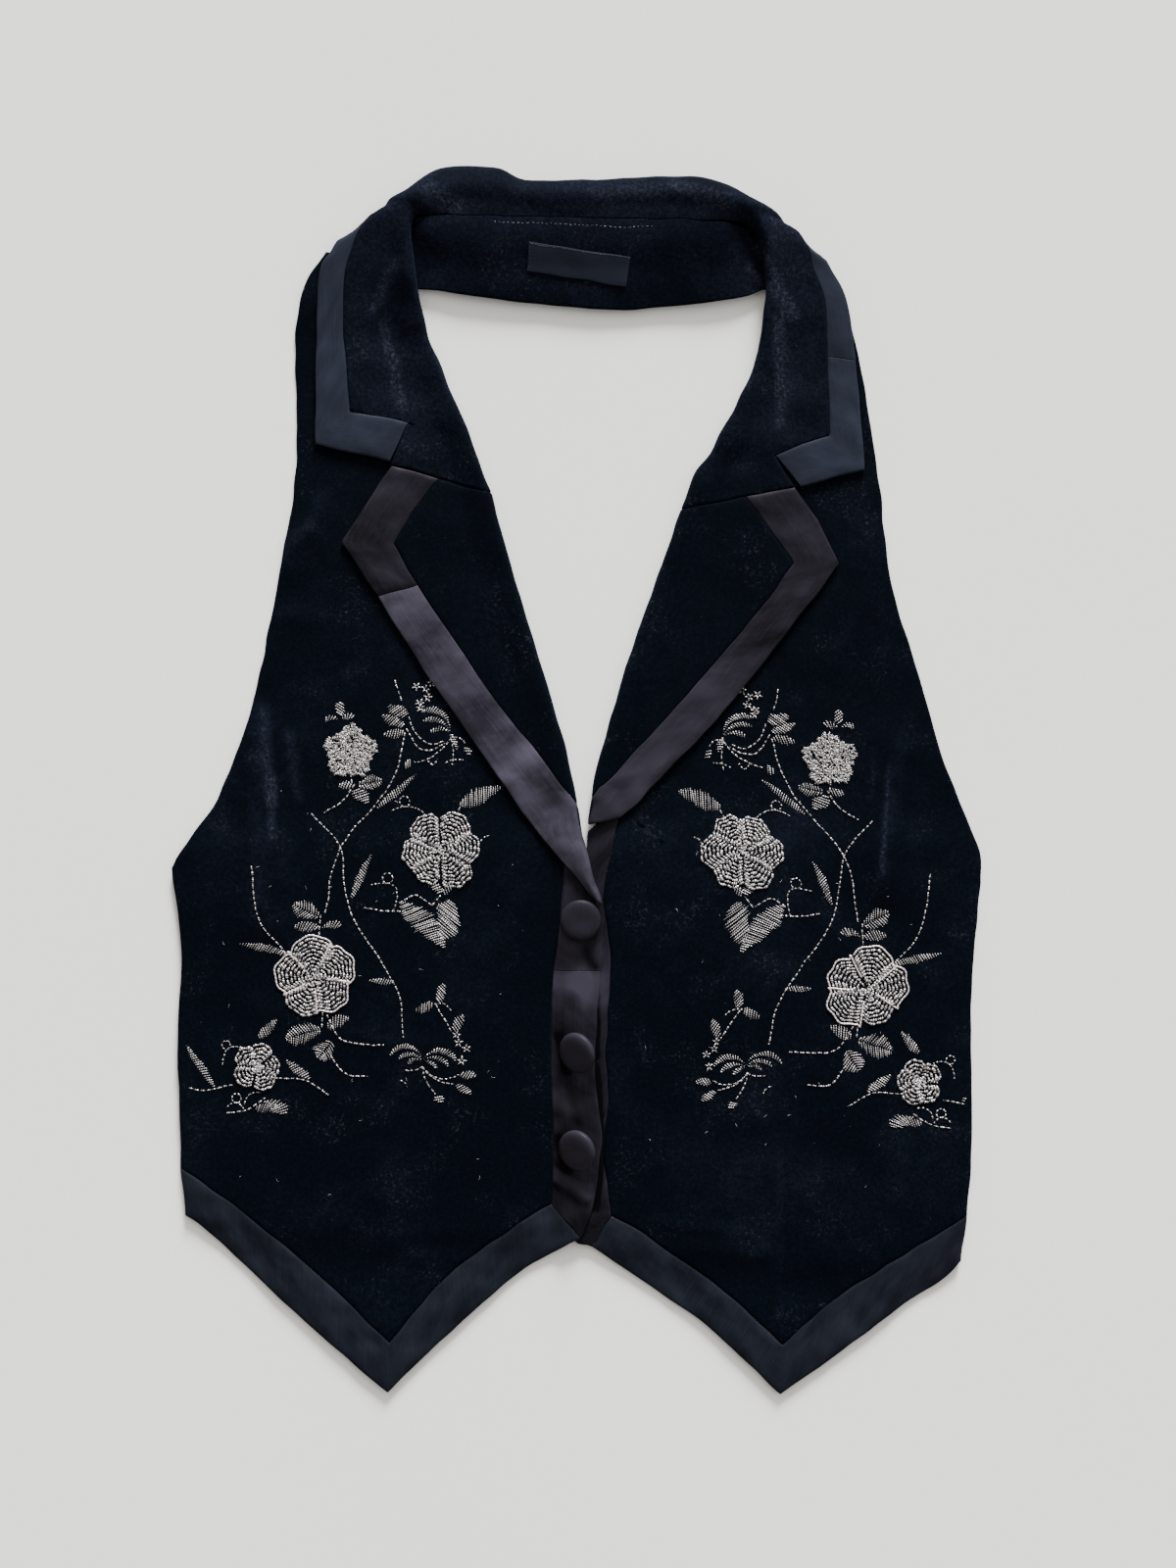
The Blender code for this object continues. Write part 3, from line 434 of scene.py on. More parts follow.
def run_length(path: Array) -> Array:
    """Distance of each point of a polyline from its first point."""
    return np.concatenate([[0], np.cumsum(np.linalg.norm(np.diff(path, axis=0), axis=1))])


def points_at(path: Array, distances: Array) -> Array:
    """Points of a polyline at the given distances from its first point."""
    length = run_length(path)
    return np.column_stack([np.interp(distances, length, axis) for axis in path.T])


def resample(path: Array, shares: Sequence[float]) -> Array:
    """Points of a polyline at the given shares of its length."""
    return points_at(path, np.array(shares) * run_length(path)[-1])


def curve(points: Sequence[Sequence[float]], count: int) -> Array:
    """Points at even distances along a smooth curve.

    Args:
        points: The points that the curve passes through.
        count: How many steps the curve is divided into.

    Returns:
        count + 1 points.
    """
    knots = np.array(points, dtype=float)
    if len(knots) > 2:
        ends = (2 * knots[0] - knots[1], 2 * knots[-1] - knots[-2])
        padded = np.vstack([ends[0], knots, ends[1]])
        steps = np.linspace(0, 1, CURVE_STEPS, endpoint=False)[:, None]
        dense = [catmull(padded[index:index + 4], steps) for index in range(len(knots) - 1)]
        knots = np.vstack(dense + [knots[-1:]])
    return resample(knots, np.linspace(0, 1, count + 1))


def chain(*runs: Array) -> Array:
    """One polyline from runs that share their end points."""
    return np.vstack([runs[0]] + [run[1:] for run in runs[1:]])


def between(rows: Sequence[Array]) -> list[Array]:
    """Fine rows on smooth curves through the points of coarse ones.

    Args:
        rows: Rows of as many points each.

    Returns:
        FINE rows for each span, and the last row.
    """
    ends = [2 * rows[0] - rows[1]], [2 * rows[-1] - rows[-2]]
    around = [*ends[0], *rows, *ends[1]]
    return [catmull(around[index:index + 4], share)
            for index in range(len(rows) - 1) for share in FINE_SHARES] + [rows[-1]]


def fine_rows(table: Sequence, corners: int) -> list[Array]:
    """Fine rows of a lapel or collar.

    Args:
        table: Its rows, each the neck edge, the satin seam and the outer edge or None.
        corners: Rows at the start whose seam and outer edge run straight and turn sharply.

    Returns:
        FINE rows for each span, and the last row.
    """
    rows = []
    for edge, seam, outer in table:
        edge, seam = np.array(edge, dtype=float), np.array(seam, dtype=float)
        rows.append(np.array([edge, seam, outer or seam + (seam - edge) * SATIN_START]))
    fine = between(rows)
    for index in range(corners):
        for step, share in enumerate(FINE_SHARES):
            straight = rows[index] * (1 - share) + rows[index + 1] * share
            fine[index * FINE + step][1:] = straight[1:]
    return fine


def headings(path: Array) -> Array:
    """Unit vectors along a plan polyline, one at each point."""
    ways = np.gradient(path, axis=0)
    return ways / np.maximum(np.linalg.norm(ways, axis=1), 1e-9)[:, None]


def leftward(ways: Array) -> Array:
    """Plan vectors turned a quarter to their left."""
    return np.column_stack([-ways[:, 1], ways[:, 0]])


def inset(path: Array, distance: float) -> Array:
    """A plan polyline moved sideways, to its left for a positive distance."""
    return path + distance * leftward(headings(path))


def meet(one: Array, other: Array, at_one: int, at_other: int) -> Array:
    """Where the end stretches of two plan polylines cross.

    Args:
        one: A polyline.
        other: The polyline that it meets.
        at_one: Index of the first one's end, 0 or -1.
        at_other: Index of the other's end.

    Returns:
        The crossing, or the halfway point where the two run alongside each other.
    """
    way_one = one[at_one] - one[1 if at_one == 0 else -2]
    way_other = other[at_other] - other[1 if at_other == 0 else -2]
    spread = way_one[0] * way_other[1] - way_one[1] * way_other[0]
    if abs(spread) < LEAST_CROSSING * np.linalg.norm(way_one) * np.linalg.norm(way_other):
        return (one[at_one] + other[at_other]) / 2
    reach = other[at_other] - one[at_one]
    share = (reach[0] * way_other[1] - reach[1] * way_other[0]) / spread
    return one[at_one] + way_one * share


def patch(bottom: Array, top: Array, left: Array, right: Array) -> Array:
    """Grid of plan points that fills four sides, drawn in from them by half a seam's gap.

    Args:
        bottom: Points from the lower left to the lower right corner.
        top: As many points above it.
        left: Points from the lower left to the upper left corner.
        right: As many points on the other side.

    Returns:
        An array of rows, columns and two coordinates.
    """
    bottom, top = inset(bottom, HALF_GAP), inset(top, -HALF_GAP)
    left, right = inset(left, -HALF_GAP), inset(right, HALF_GAP)
    for one, other, at_one, at_other in ((bottom, left, 0, 0), (bottom, right, -1, 0),
                                         (top, left, 0, -1), (top, right, -1, -1)):
        corner = meet(one, other, at_one, at_other)
        one[at_one] = corner
        other[at_other] = corner
    across = np.linspace(0, 1, len(bottom))[None, :, None]
    up = np.linspace(0, 1, len(left))[:, None, None]
    sides = left[:, None] * (1 - across) + right[:, None] * across
    ends = bottom[None] * (1 - up) + top[None] * up
    corners = ((bottom[0] * (1 - across) + bottom[-1] * across) * (1 - up)
               + (top[0] * (1 - across) + top[-1] * across) * up)
    return sides + ends - corners


def strip(low: Array, high: Array, steps: int) -> Array:
    """Grid of plan points between two edges, with straight ends."""
    return patch(low, high, *(curve((low[end], high[end]), steps) for end in (0, -1)))


def soft_waves(points: Array, size: float, seed: int) -> Array:
    """Smooth random unevenness, about -1 to 1, for plan points.

    Args:
        points: Plan points.
        size: Distance from one crest to the next, in millimetres.
        seed: Which of many patterns.

    Returns:
        One value for each point.
    """
    source = np.random.default_rng(seed)
    total = np.zeros(points.shape[:-1])
    for _ in range(WAVE_COUNT):
        angle, phase = source.uniform(0, 2 * math.pi, 2)
        pitch = size * source.uniform(*WAVE_PITCHES)
        along = points[..., 0] * math.cos(angle) + points[..., 1] * math.sin(angle)
        total += np.sin(along * 2 * math.pi / pitch + phase)
    return total / math.sqrt(WAVE_COUNT)


def ridges(points: Array, table: Sequence[tuple]) -> Array:
    """Height of soft ridges, for plan points.

    Args:
        points: Plan points.
        table: Ridges, each its start, end, half width and height.

    Returns:
        One height for each point.
    """
    total = np.zeros(points.shape[:-1])
    for start, end, half_width, height in table:
        start = np.array(start, dtype=float)
        way = np.array(end, dtype=float) - start
        share = np.clip((points[..., :2] - start) @ way / way.dot(way), 0, 1)
        near = start + share[..., None] * way
        away = np.linalg.norm(points[..., :2] - near, axis=-1)
        total += height * np.exp(-(away / half_width) ** 2)
    return total


def hem_line(x: Array) -> Array:
    """Height up the sheet of the back panel's hem."""
    (left_x, left_y), (right_x, right_y) = BACK_LOW
    return left_y + (right_y - left_y) * (x - left_x) / (right_x - left_x)


def base_level(points: Array) -> Array:
    """Height of the middle of the fronts' cloth in the solids.

    Args:
        points: Plan points.

    Returns:
        One height for each point.
    """
    x, y = points[..., 0], points[..., 1]
    over_back = ease((BACK_TOP + BACK_MARGIN + BACK_SLOPE - y) / BACK_SLOPE)
    below_hem = ease((hem_line(x) - BACK_MARGIN - y) / BACK_SLOPE)
    shoulder = NECK_LIFT * ease((y - NECK_START) / NECK_RISE)
    middle = 1 - ease((np.abs(x - NECK_MIDDLE) - NECK_FLAT) / NECK_RISE)
    band = middle * (BAND_EDGE_LIFT + BAND_SLOPE_LIFT * ease((y - BAND_BOTTOM) / BAND_WIDTH))
    return (MID + OVER_BACK * over_back * (1 - below_hem) + shoulder
            + band * (y > NECK_START) + ridges(points, FOLDS))


def front_level(points: Array) -> Array:
    """Height of the fronts with their small creases and unevenness.

    Args:
        points: Plan points.

    Returns:
        One height for each point.
    """
    uneven = (SLOW_HEIGHT * (1 + soft_waves(points, SLOW_WAVES, Pattern.SLOW))
              + QUICK_HEIGHT * soft_waves(points, QUICK_WAVES, Pattern.QUICK))
    curl = HEM_CURL * ease((hem_line(points[..., 0]) - CURL_FROM - points[..., 1]) / CURL_OVER)
    level = base_level(points) + ridges(points, CREASES) + np.maximum(uneven, 0) + curl
    return np.maximum(level, MID)


def band_level(points: Array) -> Array:
    """Height of the neck band, which rises to the collar's seam.

    Args:
        points: Plan points.

    Returns:
        One height for each point.
    """
    level = front_level(points)
    inside = ease((BAND_RISE_HALF - np.abs(points[..., 0])) / BAND_RISE_FADE)
    rise = np.maximum(np.interp(points[..., 0], *BAND_TOP) - level, 0)
    return level + rise * inside * ease((points[..., 1] - BAND_RISE_FROM) / BAND_RISE_OVER)


def lapped_level(points: Array) -> Array:
    """Height of the right front, which laps over the left one.

    Args:
        points: Plan points.

    Returns:
        One height for each point.
    """
    x, y = points[..., 0], points[..., 1]
    lap = ease((x - LAP_START) / LAP_RISE) * ease((LAP_TOP - y) / LAP_RISE)
    return front_level(points) + LAP_LIFT * lap


def raised(grid: Array, level: Level, lift: float = 0.0) -> Array:
    """Plan points with the height of a level function."""
    return np.concatenate([grid, (level(grid) + lift)[..., None]], axis=-1)


class Nodes:
    """A node tree with short ways to add nodes and join them."""

    def __init__(self, tree: bpy.types.NodeTree,
                 material: Optional[bpy.types.Material] = None) -> None:
        """Keeps the tree and the material that it is in."""
        self.tree = tree
        self.material = material

    def feed(self, node: bpy.types.Node, inputs: dict) -> None:
        """Sets or joins a node's inputs.

        Args:
            node: The node.
            inputs: Values or outputs of other nodes, by the input's name or number.
        """
        for name, value in inputs.items():
            if isinstance(value, Socket):
                self.tree.links.new(value, node.inputs[name])
            else:
                node.inputs[name].default_value = value

    def add(self, kind: str, inputs: Optional[dict] = None, **settings: object) -> bpy.types.Node:
        """Adds a node.

        Args:
            kind: The node's type, without its common first part.
            inputs: Values or outputs of other nodes, by the input's name or number.
            settings: Properties of the node.

        Returns:
            The node.
        """
        node = self.tree.nodes.new("ShaderNode" + kind)
        for name, value in settings.items():
            setattr(node, name, value)
        self.feed(node, inputs or {})
        return node

    def maths(self, operation: str, *values: object) -> Socket:
        """The result of a Math node for its values or sockets."""
        return self.add("Math", dict(enumerate(values)), operation=operation).outputs[0]

    def times(self, first: object, second: object) -> Socket:
        """The product of two values."""
        return self.maths("MULTIPLY", first, second)

    def sum(self, *parts: tuple[object, float]) -> Socket:
        """The sum of values, each times its weight."""
        total, *others = (self.times(*part) for part in parts)
        for other in others:
            total = self.maths("ADD", total, other)
        return total

    def span(self, value: object, low: float, high: float, to_low: float = 0.0,
             to_high: float = 1.0) -> Socket:
        """A value mapped smoothly from one range to another."""
        inputs = {"Value": value, "From Min": low, "From Max": high, "To Min": to_low,
                  "To Max": to_high}
        return self.add("MapRange", inputs, interpolation_type="SMOOTHSTEP").outputs[0]

    def blend(self, share: object, first: object, second: object) -> Socket:
        """A colour between two, at a share from 0 to 1."""
        inputs = {0: share, 6: padded(first), 7: padded(second)}
        return self.add("Mix", inputs, data_type="RGBA").outputs[2]

    def noise(self, vector: object, scale: float, detail: float = 2.0,
              roughness: float = 0.5) -> Socket:
        """Smooth noise at a number of features per metre."""
        inputs = {"Vector": vector, "Scale": scale, "Detail": detail, "Roughness": roughness}
        return self.add("TexNoise", inputs).outputs["Fac"]

    def drawn_noise(self, vector: object, scale: Colour, detail: float) -> Socket:
        """Noise with its own number of features per metre along each axis."""
        drawn = self.add("Mapping", {"Vector": vector, "Scale": scale}).outputs[0]
        return self.noise(drawn, 1.0, detail, 0.6)

    def tone(self) -> Socket:
        """The piece's own attribute of sheen, shade and glints painted into its colour, and of
        crushed pile.
        """
        return self.add("Attribute", attribute_name="crush").outputs["Fac"]

    def bump(self, height: Socket, strength: float, distance: float) -> Socket:
        """A normal that follows a height."""
        inputs = {"Strength": strength, "Distance": distance, "Height": height}
        return self.add("Bump", inputs).outputs[0]

    def effect(self, name: str, body: Callable[["Nodes", dict], dict],
               **inputs: object) -> dict[str, Socket]:
        """Places a shared effect, a node group of values that is built once.

        Args:
            name: The group's name.
            body: Adds the group's nodes, from its inputs' sockets to its outputs' sockets.
            inputs: The group's inputs; "Vector" is a vector and the others are numbers.

        Returns:
            The sockets of its outputs, all numbers, by name.
        """
        group = bpy.data.node_groups.get(name)
        if group is None:
            group = bpy.data.node_groups.new(name, "ShaderNodeTree")
            for label in inputs:
                kind = "NodeSocketVector" if label == "Vector" else "NodeSocketFloat"
                group.interface.new_socket(label, in_out="INPUT", socket_type=kind)
            made = body(Nodes(group), group.nodes.new("NodeGroupInput").outputs)
            for label in made:
                group.interface.new_socket(label, in_out="OUTPUT",
                                           socket_type="NodeSocketFloat")
            Nodes(group).feed(group.nodes.new("NodeGroupOutput"), made)
        placed = self.add("Group", inputs, node_tree=group)
        return {socket.name: socket for socket in placed.outputs}


def padded(value: object) -> object:
    """A colour with its alpha, or the socket as it is."""
    return value if isinstance(value, Socket) else (*value, 1.0)


def new_material(name: str) -> tuple[Nodes, bpy.types.Node]:
    """A new material.

    Args:
        name: The material's name.

    Returns:
        Its nodes, which keep the material, and its Principled shader.
    """
    material = bpy.data.materials.new(name)
    material.use_nodes = True
    return Nodes(material.node_tree, material), material.node_tree.nodes["Principled BSDF"]


def pile_body(nodes: Nodes, given: dict) -> dict:
    """Velvet pile: cloudy nap, crushed streaks partly painted as sheen, grit, fibre ends and
    specks of lint.

    Args:
        nodes: The group's tree.
        given: Sockets of its inputs, by name.

    Returns:
        Sockets of its outputs, by name.
    """
    where, crush = given["Vector"], given["Crush"]
    clouds = nodes.noise(where, 13, 3, 0.55)
    patches = nodes.noise(where, 38, 4, 0.6)
    mottles = nodes.noise(where, 170, 4, 0.65)
    fibres = nodes.noise(where, 1500, 2, 0.6)
    lay = nodes.sum((clouds, 0.52), (patches, 0.30), (mottles, 0.18), (crush, 1.0))
    broken = nodes.span(nodes.noise(where, 620, 4, 0.7), 0.42, 0.64, 0.12, 1.0)
    cells = nodes.add("TexVoronoi", {"Vector": where, "Scale": 330.0})
    chance = nodes.add("SeparateColor", {"Color": cells.outputs["Color"]}).outputs[0]
    rare = nodes.times(nodes.span(chance, 0.967, 1.0, 0.05, 0.75),
                       nodes.maths("GREATER_THAN", chance, 0.967))
    near = nodes.span(cells.outputs["Distance"], 0.03, 0.10, 1.0, 0.0)
    dust = nodes.times(nodes.span(patches, 0.50, 0.66),
                       nodes.span(nodes.noise(where, 620, 3, 0.7), 0.54, 0.76, 0.0, 0.30))
    return {"Nap": nodes.span(lay, 0.45, 0.78),
            "Streak": nodes.times(nodes.span(crush, 0.16, 0.42), broken),
            "Grain": nodes.times(nodes.span(fibres, 0.3, 0.7, 0.62, 1.38),
                                 nodes.span(nodes.noise(where, 520, 4, 0.75),
                                            0.38, 0.66, 0.6, 1.75)),
            "Lint": nodes.maths("MAXIMUM", nodes.times(rare, near), dust),
            "Height": nodes.sum((fibres, 0.5), (mottles, 0.6))}


def weave_body(nodes: Nodes, given: dict) -> dict:
    """Satin weave: fine warp lines, slubs along them and slow unevenness that paints its sheen.

    Args:
        nodes: The group's tree.
        given: Sockets of its inputs, by name.

    Returns:
        Sockets of its outputs, by name.
    """
    where = given["Vector"]
    fine = nodes.drawn_noise(where, (2600, 260, 1), 2)
    slubs = nodes.drawn_noise(where, (900, 38, 1), 3)
    slow = nodes.drawn_noise(where, (34, 46, 1), 4)
    return {"Height": nodes.sum((fine, 0.6), (slubs, 0.7)),
            "Shade": nodes.span(nodes.sum((slubs, 0.22), (slow, 0.78)), 0.33, 0.67)}


def twist_body(nodes: Nodes, given: dict) -> dict:
    """Twisted thread: slanting strands, and painted shine that comes and goes along it.

    Args:
        nodes: The group's tree.
        given: Sockets of its inputs, by name.

    Returns:
        Sockets of its outputs, by name.
    """
    along, around, _ = nodes.add("SeparateXYZ", {"Vector": given["Vector"]}).outputs
    turns = nodes.maths("ADD", nodes.times(along, given["Turns"]), around)
    strand = nodes.maths("SINE", nodes.times(turns, 2 * math.pi))
    drift = nodes.drawn_noise(given["Vector"], (560, 3, 1), 2)
    return {"Height": nodes.span(strand, -1.0, 1.0), "Shade": nodes.span(drift, 0.35, 0.65)}


@dataclass(frozen=True)
class Velvet:
    """Pile cloth: dark where one looks into the nap, slate blue where it is brushed over.

    Attributes:
        name: The finish's name.
        slot: The record's slot for it; not used.
        deep: Colour of the upright pile.
        brushed: Colour of the pile that leans over.
        crushed: Colour along the lines where the pile is crushed, partly a painted sheen along
            folds.
        lint: Colour of the specks on it.
        sheen: Colour of the light that its fibres scatter.
    """

    name: str = "navy_velvet"
    slot: Slot = Slot.VELVET
    deep: Colour = (0.0001, 0.0007, 0.0020)
    brushed: Colour = (0.0021, 0.0028, 0.0062)
    crushed: Colour = (0.0100, 0.0115, 0.0180)
    lint: Colour = (0.05, 0.055, 0.065)
    sheen: Colour = (0.28, 0.45, 1.0)

    def material(self) -> bpy.types.Material:
        """Material with nap clouds, crushed streaks partly painted as sheen, fibre bump, lint and
        a blue sheen.
        """
        nodes, shader = new_material(self.name)
        where = nodes.add("TexCoord").outputs["Object"]
        pile = nodes.effect("pile", pile_body, Vector=where, Crush=nodes.tone())
        colour = nodes.blend(pile["Nap"], self.deep, self.brushed)
        colour = nodes.blend(pile["Streak"], colour, self.crushed)
        scaled = nodes.add("VectorMath", {0: colour, 3: pile["Grain"]}, operation="SCALE")
        nodes.feed(shader, {
            "Base Color": nodes.blend(pile["Lint"], scaled.outputs[0], self.lint),
            "Normal": nodes.bump(pile["Height"], 0.5, 0.0003), "Roughness": 0.85,
            "Specular IOR Level": 0.03, "Sheen Weight": 0.022, "Sheen Roughness": 0.45,
            "Sheen Tint": padded(self.sheen)})
        return nodes.material


@dataclass(frozen=True)
class Satin:
    """Smooth warp-faced cloth.

    Attributes:
        name: The finish's name.
        deep: Colour in the hollows of its painted sheen.
        bright: Colour where the painted sheen lies.
        roughness: How wide the highlights spread.
        shine: Strength of the highlights.
        cloud: How much its painted sheen comes and goes.
        slot: The record's slot for it; not used.
    """

    name: str
    deep: Colour
    bright: Colour
    roughness: float = 0.36
    shine: float = 0.04
    cloud: float = 0.6
    slot: Slot = Slot.SATIN

    def material(self) -> bpy.types.Material:
        """Material with warp lines, slubs and a soft violet sheen painted into its colour."""
        nodes, shader = new_material(self.name)
        weave = nodes.effect("weave", weave_body, Vector=nodes.add("UVMap").outputs[0])
        # Sheen painted into the colour, from the weave and the piece's tones
        share = nodes.maths("ADD", nodes.times(weave["Shade"], self.cloud), nodes.tone())
        nodes.feed(shader, {
            "Base Color": nodes.blend(share, self.deep, self.bright),
            "Roughness": nodes.span(weave["Shade"], 0.0, 1.0, self.roughness + 0.06,
                                    self.roughness - 0.06),
            "Normal": nodes.bump(weave["Height"], 0.22, 0.0002),
            "Specular IOR Level": self.shine})
        return nodes.material


@dataclass(frozen=True)
class Thread:
    """Twisted thread.

    Attributes:
        name: The finish's name.
        deep: Colour between the strands, as painted shade.
        bright: Colour on the strands, as painted highlight.
        turns: Twists in a metre.
        metallic: Share of metal in its shine.
        roughness: How wide its highlights spread.
    """

    name: str
    deep: Colour
    bright: Colour
    turns: float = 900.0
    metallic: float = 0.5
    roughness: float = 0.32

    def material(self) -> bpy.types.Material:
        """Material with slanting strands in painted light and shade and in bump, and painted
        glints by the stitch.
        """
        nodes, shader = new_material(self.name)
        twist = nodes.effect("twist", twist_body, Vector=nodes.add("UVMap").outputs[0],
                             Turns=self.turns)
        share = nodes.times(twist["Height"], nodes.span(twist["Shade"], 0.0, 1.0, 0.35, 1.0))
        share = nodes.times(share, nodes.tone())
        nodes.feed(shader, {
            "Base Color": nodes.blend(share, self.deep, self.bright),
            "Normal": nodes.bump(twist["Height"], 0.6, 0.0002),
            "Metallic": self.metallic, "Roughness": self.roughness})
        return nodes.material


class Finish(Enum):
    """Every finish of the waistcoat."""

    VELVET = Velvet()
    COLLAR_SATIN = Satin("slate_satin", (0.0076, 0.0092, 0.0150), (0.0184, 0.0213, 0.0334), 0.46)
    LAPEL_SATIN = Satin("violet_satin", (0.0036, 0.0033, 0.0050), (0.0185, 0.0168, 0.0242))
    # The lapel satin made lighter, a painted sheen for the right lapel band's lower length
    LAPEL_SATIN_PAINTED_SHEEN = Satin("violet_satin_painted_sheen", (0.0105, 0.0096, 0.0140),
                         (0.0460, 0.0420, 0.0600))
    HEM_SATIN = Satin("black_satin", (0.0028, 0.0035, 0.0057), (0.0120, 0.0138, 0.0205), 0.38)
    PLACKET_SATIN = Satin("shaded_satin", (0.0010, 0.0009, 0.0015), (0.0250, 0.0226, 0.0325),
                          shine=0.03, cloud=0.3)
    BUTTON_SATIN = Satin("covered_button_satin", (0.0068, 0.0060, 0.0088),
                         (0.0142, 0.0127, 0.0184), 0.42, slot=Slot.BUTTON)
    RIBBON = Satin("woven_ribbon", (0.0068, 0.0082, 0.0138), (0.0105, 0.0125, 0.0200), 0.62,
                   slot=Slot.LABEL)
    SILVER = Thread("silver_thread", (0.030, 0.026, 0.027), (0.99, 0.94, 0.95))
    ROSE_CORD = Thread("rose_silver_cord", (0.42, 0.355, 0.36), (0.90, 0.83, 0.84), 520.0)
    DARK_THREAD = Thread("navy_thread", (0.002, 0.003, 0.005), (0.012, 0.014, 0.02), 300.0,
                         0.0, 0.7)
    PALE_THREAD = Thread("pale_thread", (0.25, 0.25, 0.27), (0.5, 0.5, 0.52), 300.0, 0.0, 0.7)

    @property
    def material(self) -> bpy.types.Material:
        """The finish's material, built the first time that a piece asks for it."""
        return bpy.data.materials.get(self.value.name) or self.value.material()


@dataclass
class Cloth:
    """A closed sheet of cloth through a grid of points on its middle.

    Attributes:
        name: The solid that it stands for; the piece's own name adds "_cloth".
        grid: Rows and columns of points on the middle of the cloth.
        finish: Its finish, which has the record's slot.
        rests_on: What it lies on; not used.
        wall: Its thickness.
        dip: How far the cloth bends down into its seams.
        rims: How far its first and last columns and rows are rounded over.
        crown: How much its upper face swells between the edges.
        tone: Ridges whose heights change the sheen and shade painted into its colour, and the
            velvet's crushed pile, instead of the shape.
        trims: Pieces that are sewn on it.
        piece: The object, once it is built.
    """

    name: str
    grid: Array
    finish: Finish
    rests_on: tuple[str, ...]
    wall: float = WALL
    dip: float = 0.14
    rims: tuple[float, float, float, float] = (RIM, RIM, RIM, RIM)
    crown: float = 0.0
    tone: Sequence[tuple] = ()
    trims: list[bpy.types.Object] = field(default_factory=list)
    piece: Optional[bpy.types.Object] = None

    def rimmed(self) -> Array:
        """The grid with close lines along its four edges."""
        grid = self.grid
        for axis in (0, 1):
            lines = np.moveaxis(grid, axis, 0)
            low = edge_lines(lines[0], lines[1])
            high = edge_lines(lines[-1], lines[-2])[::-1]
            grid = np.moveaxis(np.concatenate([low, lines[1:-1], high]), 0, axis)
        return grid

    def skins(self, grid: Array, across: Array, up: Array) -> tuple[Array, Array]:
        """The cloth's upper and lower skin, which close at its rims.

        Args:
            grid: Points on the middle of the cloth.
            across: Their distances along their rows.
            up: Their distances along their columns.

        Returns:
            The upper and the lower points.
        """
        edges = zip((across, across[:, -1:] - across, up, up[-1:] - up), self.rims)
        share = np.ones(grid.shape[:2])
        near = np.full(grid.shape[:2], np.inf)
        for away, rim in edges:
            share *= np.sqrt(np.clip(1 - (1 - np.clip(away / rim, 0, 1)) ** 2, 0, 1))
            near = np.minimum(near, away)
        normal = normals(grid)
        half = share * self.wall / 2
        swell = self.crown * ease(near / CROWN_REACH)
        middle = grid - normal * (self.dip * np.exp(-(near / DIP_REACH) ** 2))[..., None]
        upper = middle + normal * (half + swell)[..., None]
        lower = middle - normal * half[..., None]
        lift = np.maximum(FLOOR_GAP - np.minimum(upper, lower)[..., 2], 0)
        upper[..., 2] += lift
        lower[..., 2] += lift
        return upper, lower

    def build(self) -> None:
        """Makes the mesh with its rounded rims, UV map and painted sheen attribute."""
        grid = self.rimmed()
        across, up = lengths(grid, 1), lengths(grid, 0)
        upper, lower = self.skins(grid, across, up)
        rows, columns = grid.shape[:2]
        top = np.arange(rows * columns).reshape(rows, columns)
        under = top.copy()
        inner = under[1:-1, 1:-1]
        inner[...] = rows * columns + np.arange(inner.size).reshape(inner.shape)
        points = np.concatenate([upper.reshape(-1, 3), lower[1:-1, 1:-1].reshape(-1, 3)])
        faces = np.concatenate([quads(top), quads(under)[:, ::-1]])
        flat = np.stack([across, up], axis=-1)
        flat = np.concatenate([flat.reshape(-1, 2), flat[1:-1, 1:-1].reshape(-1, 2)])
        self.piece = new_piece(self.name + "_cloth", points, faces, flat, self.finish,
                               ridges(points, self.tone))

    def measure(self) -> tuple[float, float, float]:
        """Width, length and area of the cloth as cut, in metres and square metres."""
        across, up = lengths(self.grid, 1)[:, -1], lengths(self.grid, 0)[-1]
        right, forward = self.grid[:-1, 1:] - self.grid[:-1, :-1], self.grid[1:] - self.grid[:-1]
        back = self.grid[1:, 1:] - self.grid[1:, :-1]
        area = (np.linalg.norm(np.cross(right, forward[:, :-1]), axis=-1).sum()
                + np.linalg.norm(np.cross(back, forward[:, 1:]), axis=-1).sum()) / 2
        return float(across.max()) * MM, float(up.max()) * MM, float(area) * MM * MM

    def declare(self) -> None:
        """Attaches the piece to the root, hides the solid that it replaces and logs its size."""
        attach(self.piece, "root")
        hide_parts(self.name)
        width, length, area = self.measure()
        LOG.info("%s: %.0f x %.0f mm, %.1f cm2", self.name, width / MM, length / MM, area * 1e4)


def edge_lines(edge: Array, inner: Array) -> Array:
    """Lines close to a grid's edge.

    Args:
        edge: Points of the edge.
        inner: Points of the next line.

    Returns:
        The edge and the lines next to it, outermost first.
    """
    way = inner - edge
    length = np.maximum(np.linalg.norm(way, axis=-1, keepdims=True), RIM_STEPS[-1] / 0.85)
    return np.stack([edge] + [edge + way * (step / length) for step in RIM_STEPS])


def lengths(grid: Array, axis: int) -> Array:
    """Distance of each grid point along its row or column from the first edge."""
    steps = np.linalg.norm(np.diff(grid, axis=axis), axis=-1)
    return np.insert(np.cumsum(steps, axis=axis), 0, 0.0, axis=axis)


def normals(grid: Array) -> Array:
    """Unit normals of a grid, up where its rows run to its left."""
    cross = np.cross(np.gradient(grid, axis=1), np.gradient(grid, axis=0))
    size = np.linalg.norm(cross, axis=-1, keepdims=True)
    return np.where(size > 1e-9, cross / np.maximum(size, 1e-9), (0.0, 0.0, 1.0))


def quads(index: Array) -> Array:
    """Faces between the points of a grid of vertex numbers."""
    corners = (index[:-1, :-1], index[:-1, 1:], index[1:, 1:], index[1:, :-1])
    return np.stack(corners, axis=-1).reshape(-1, 4)


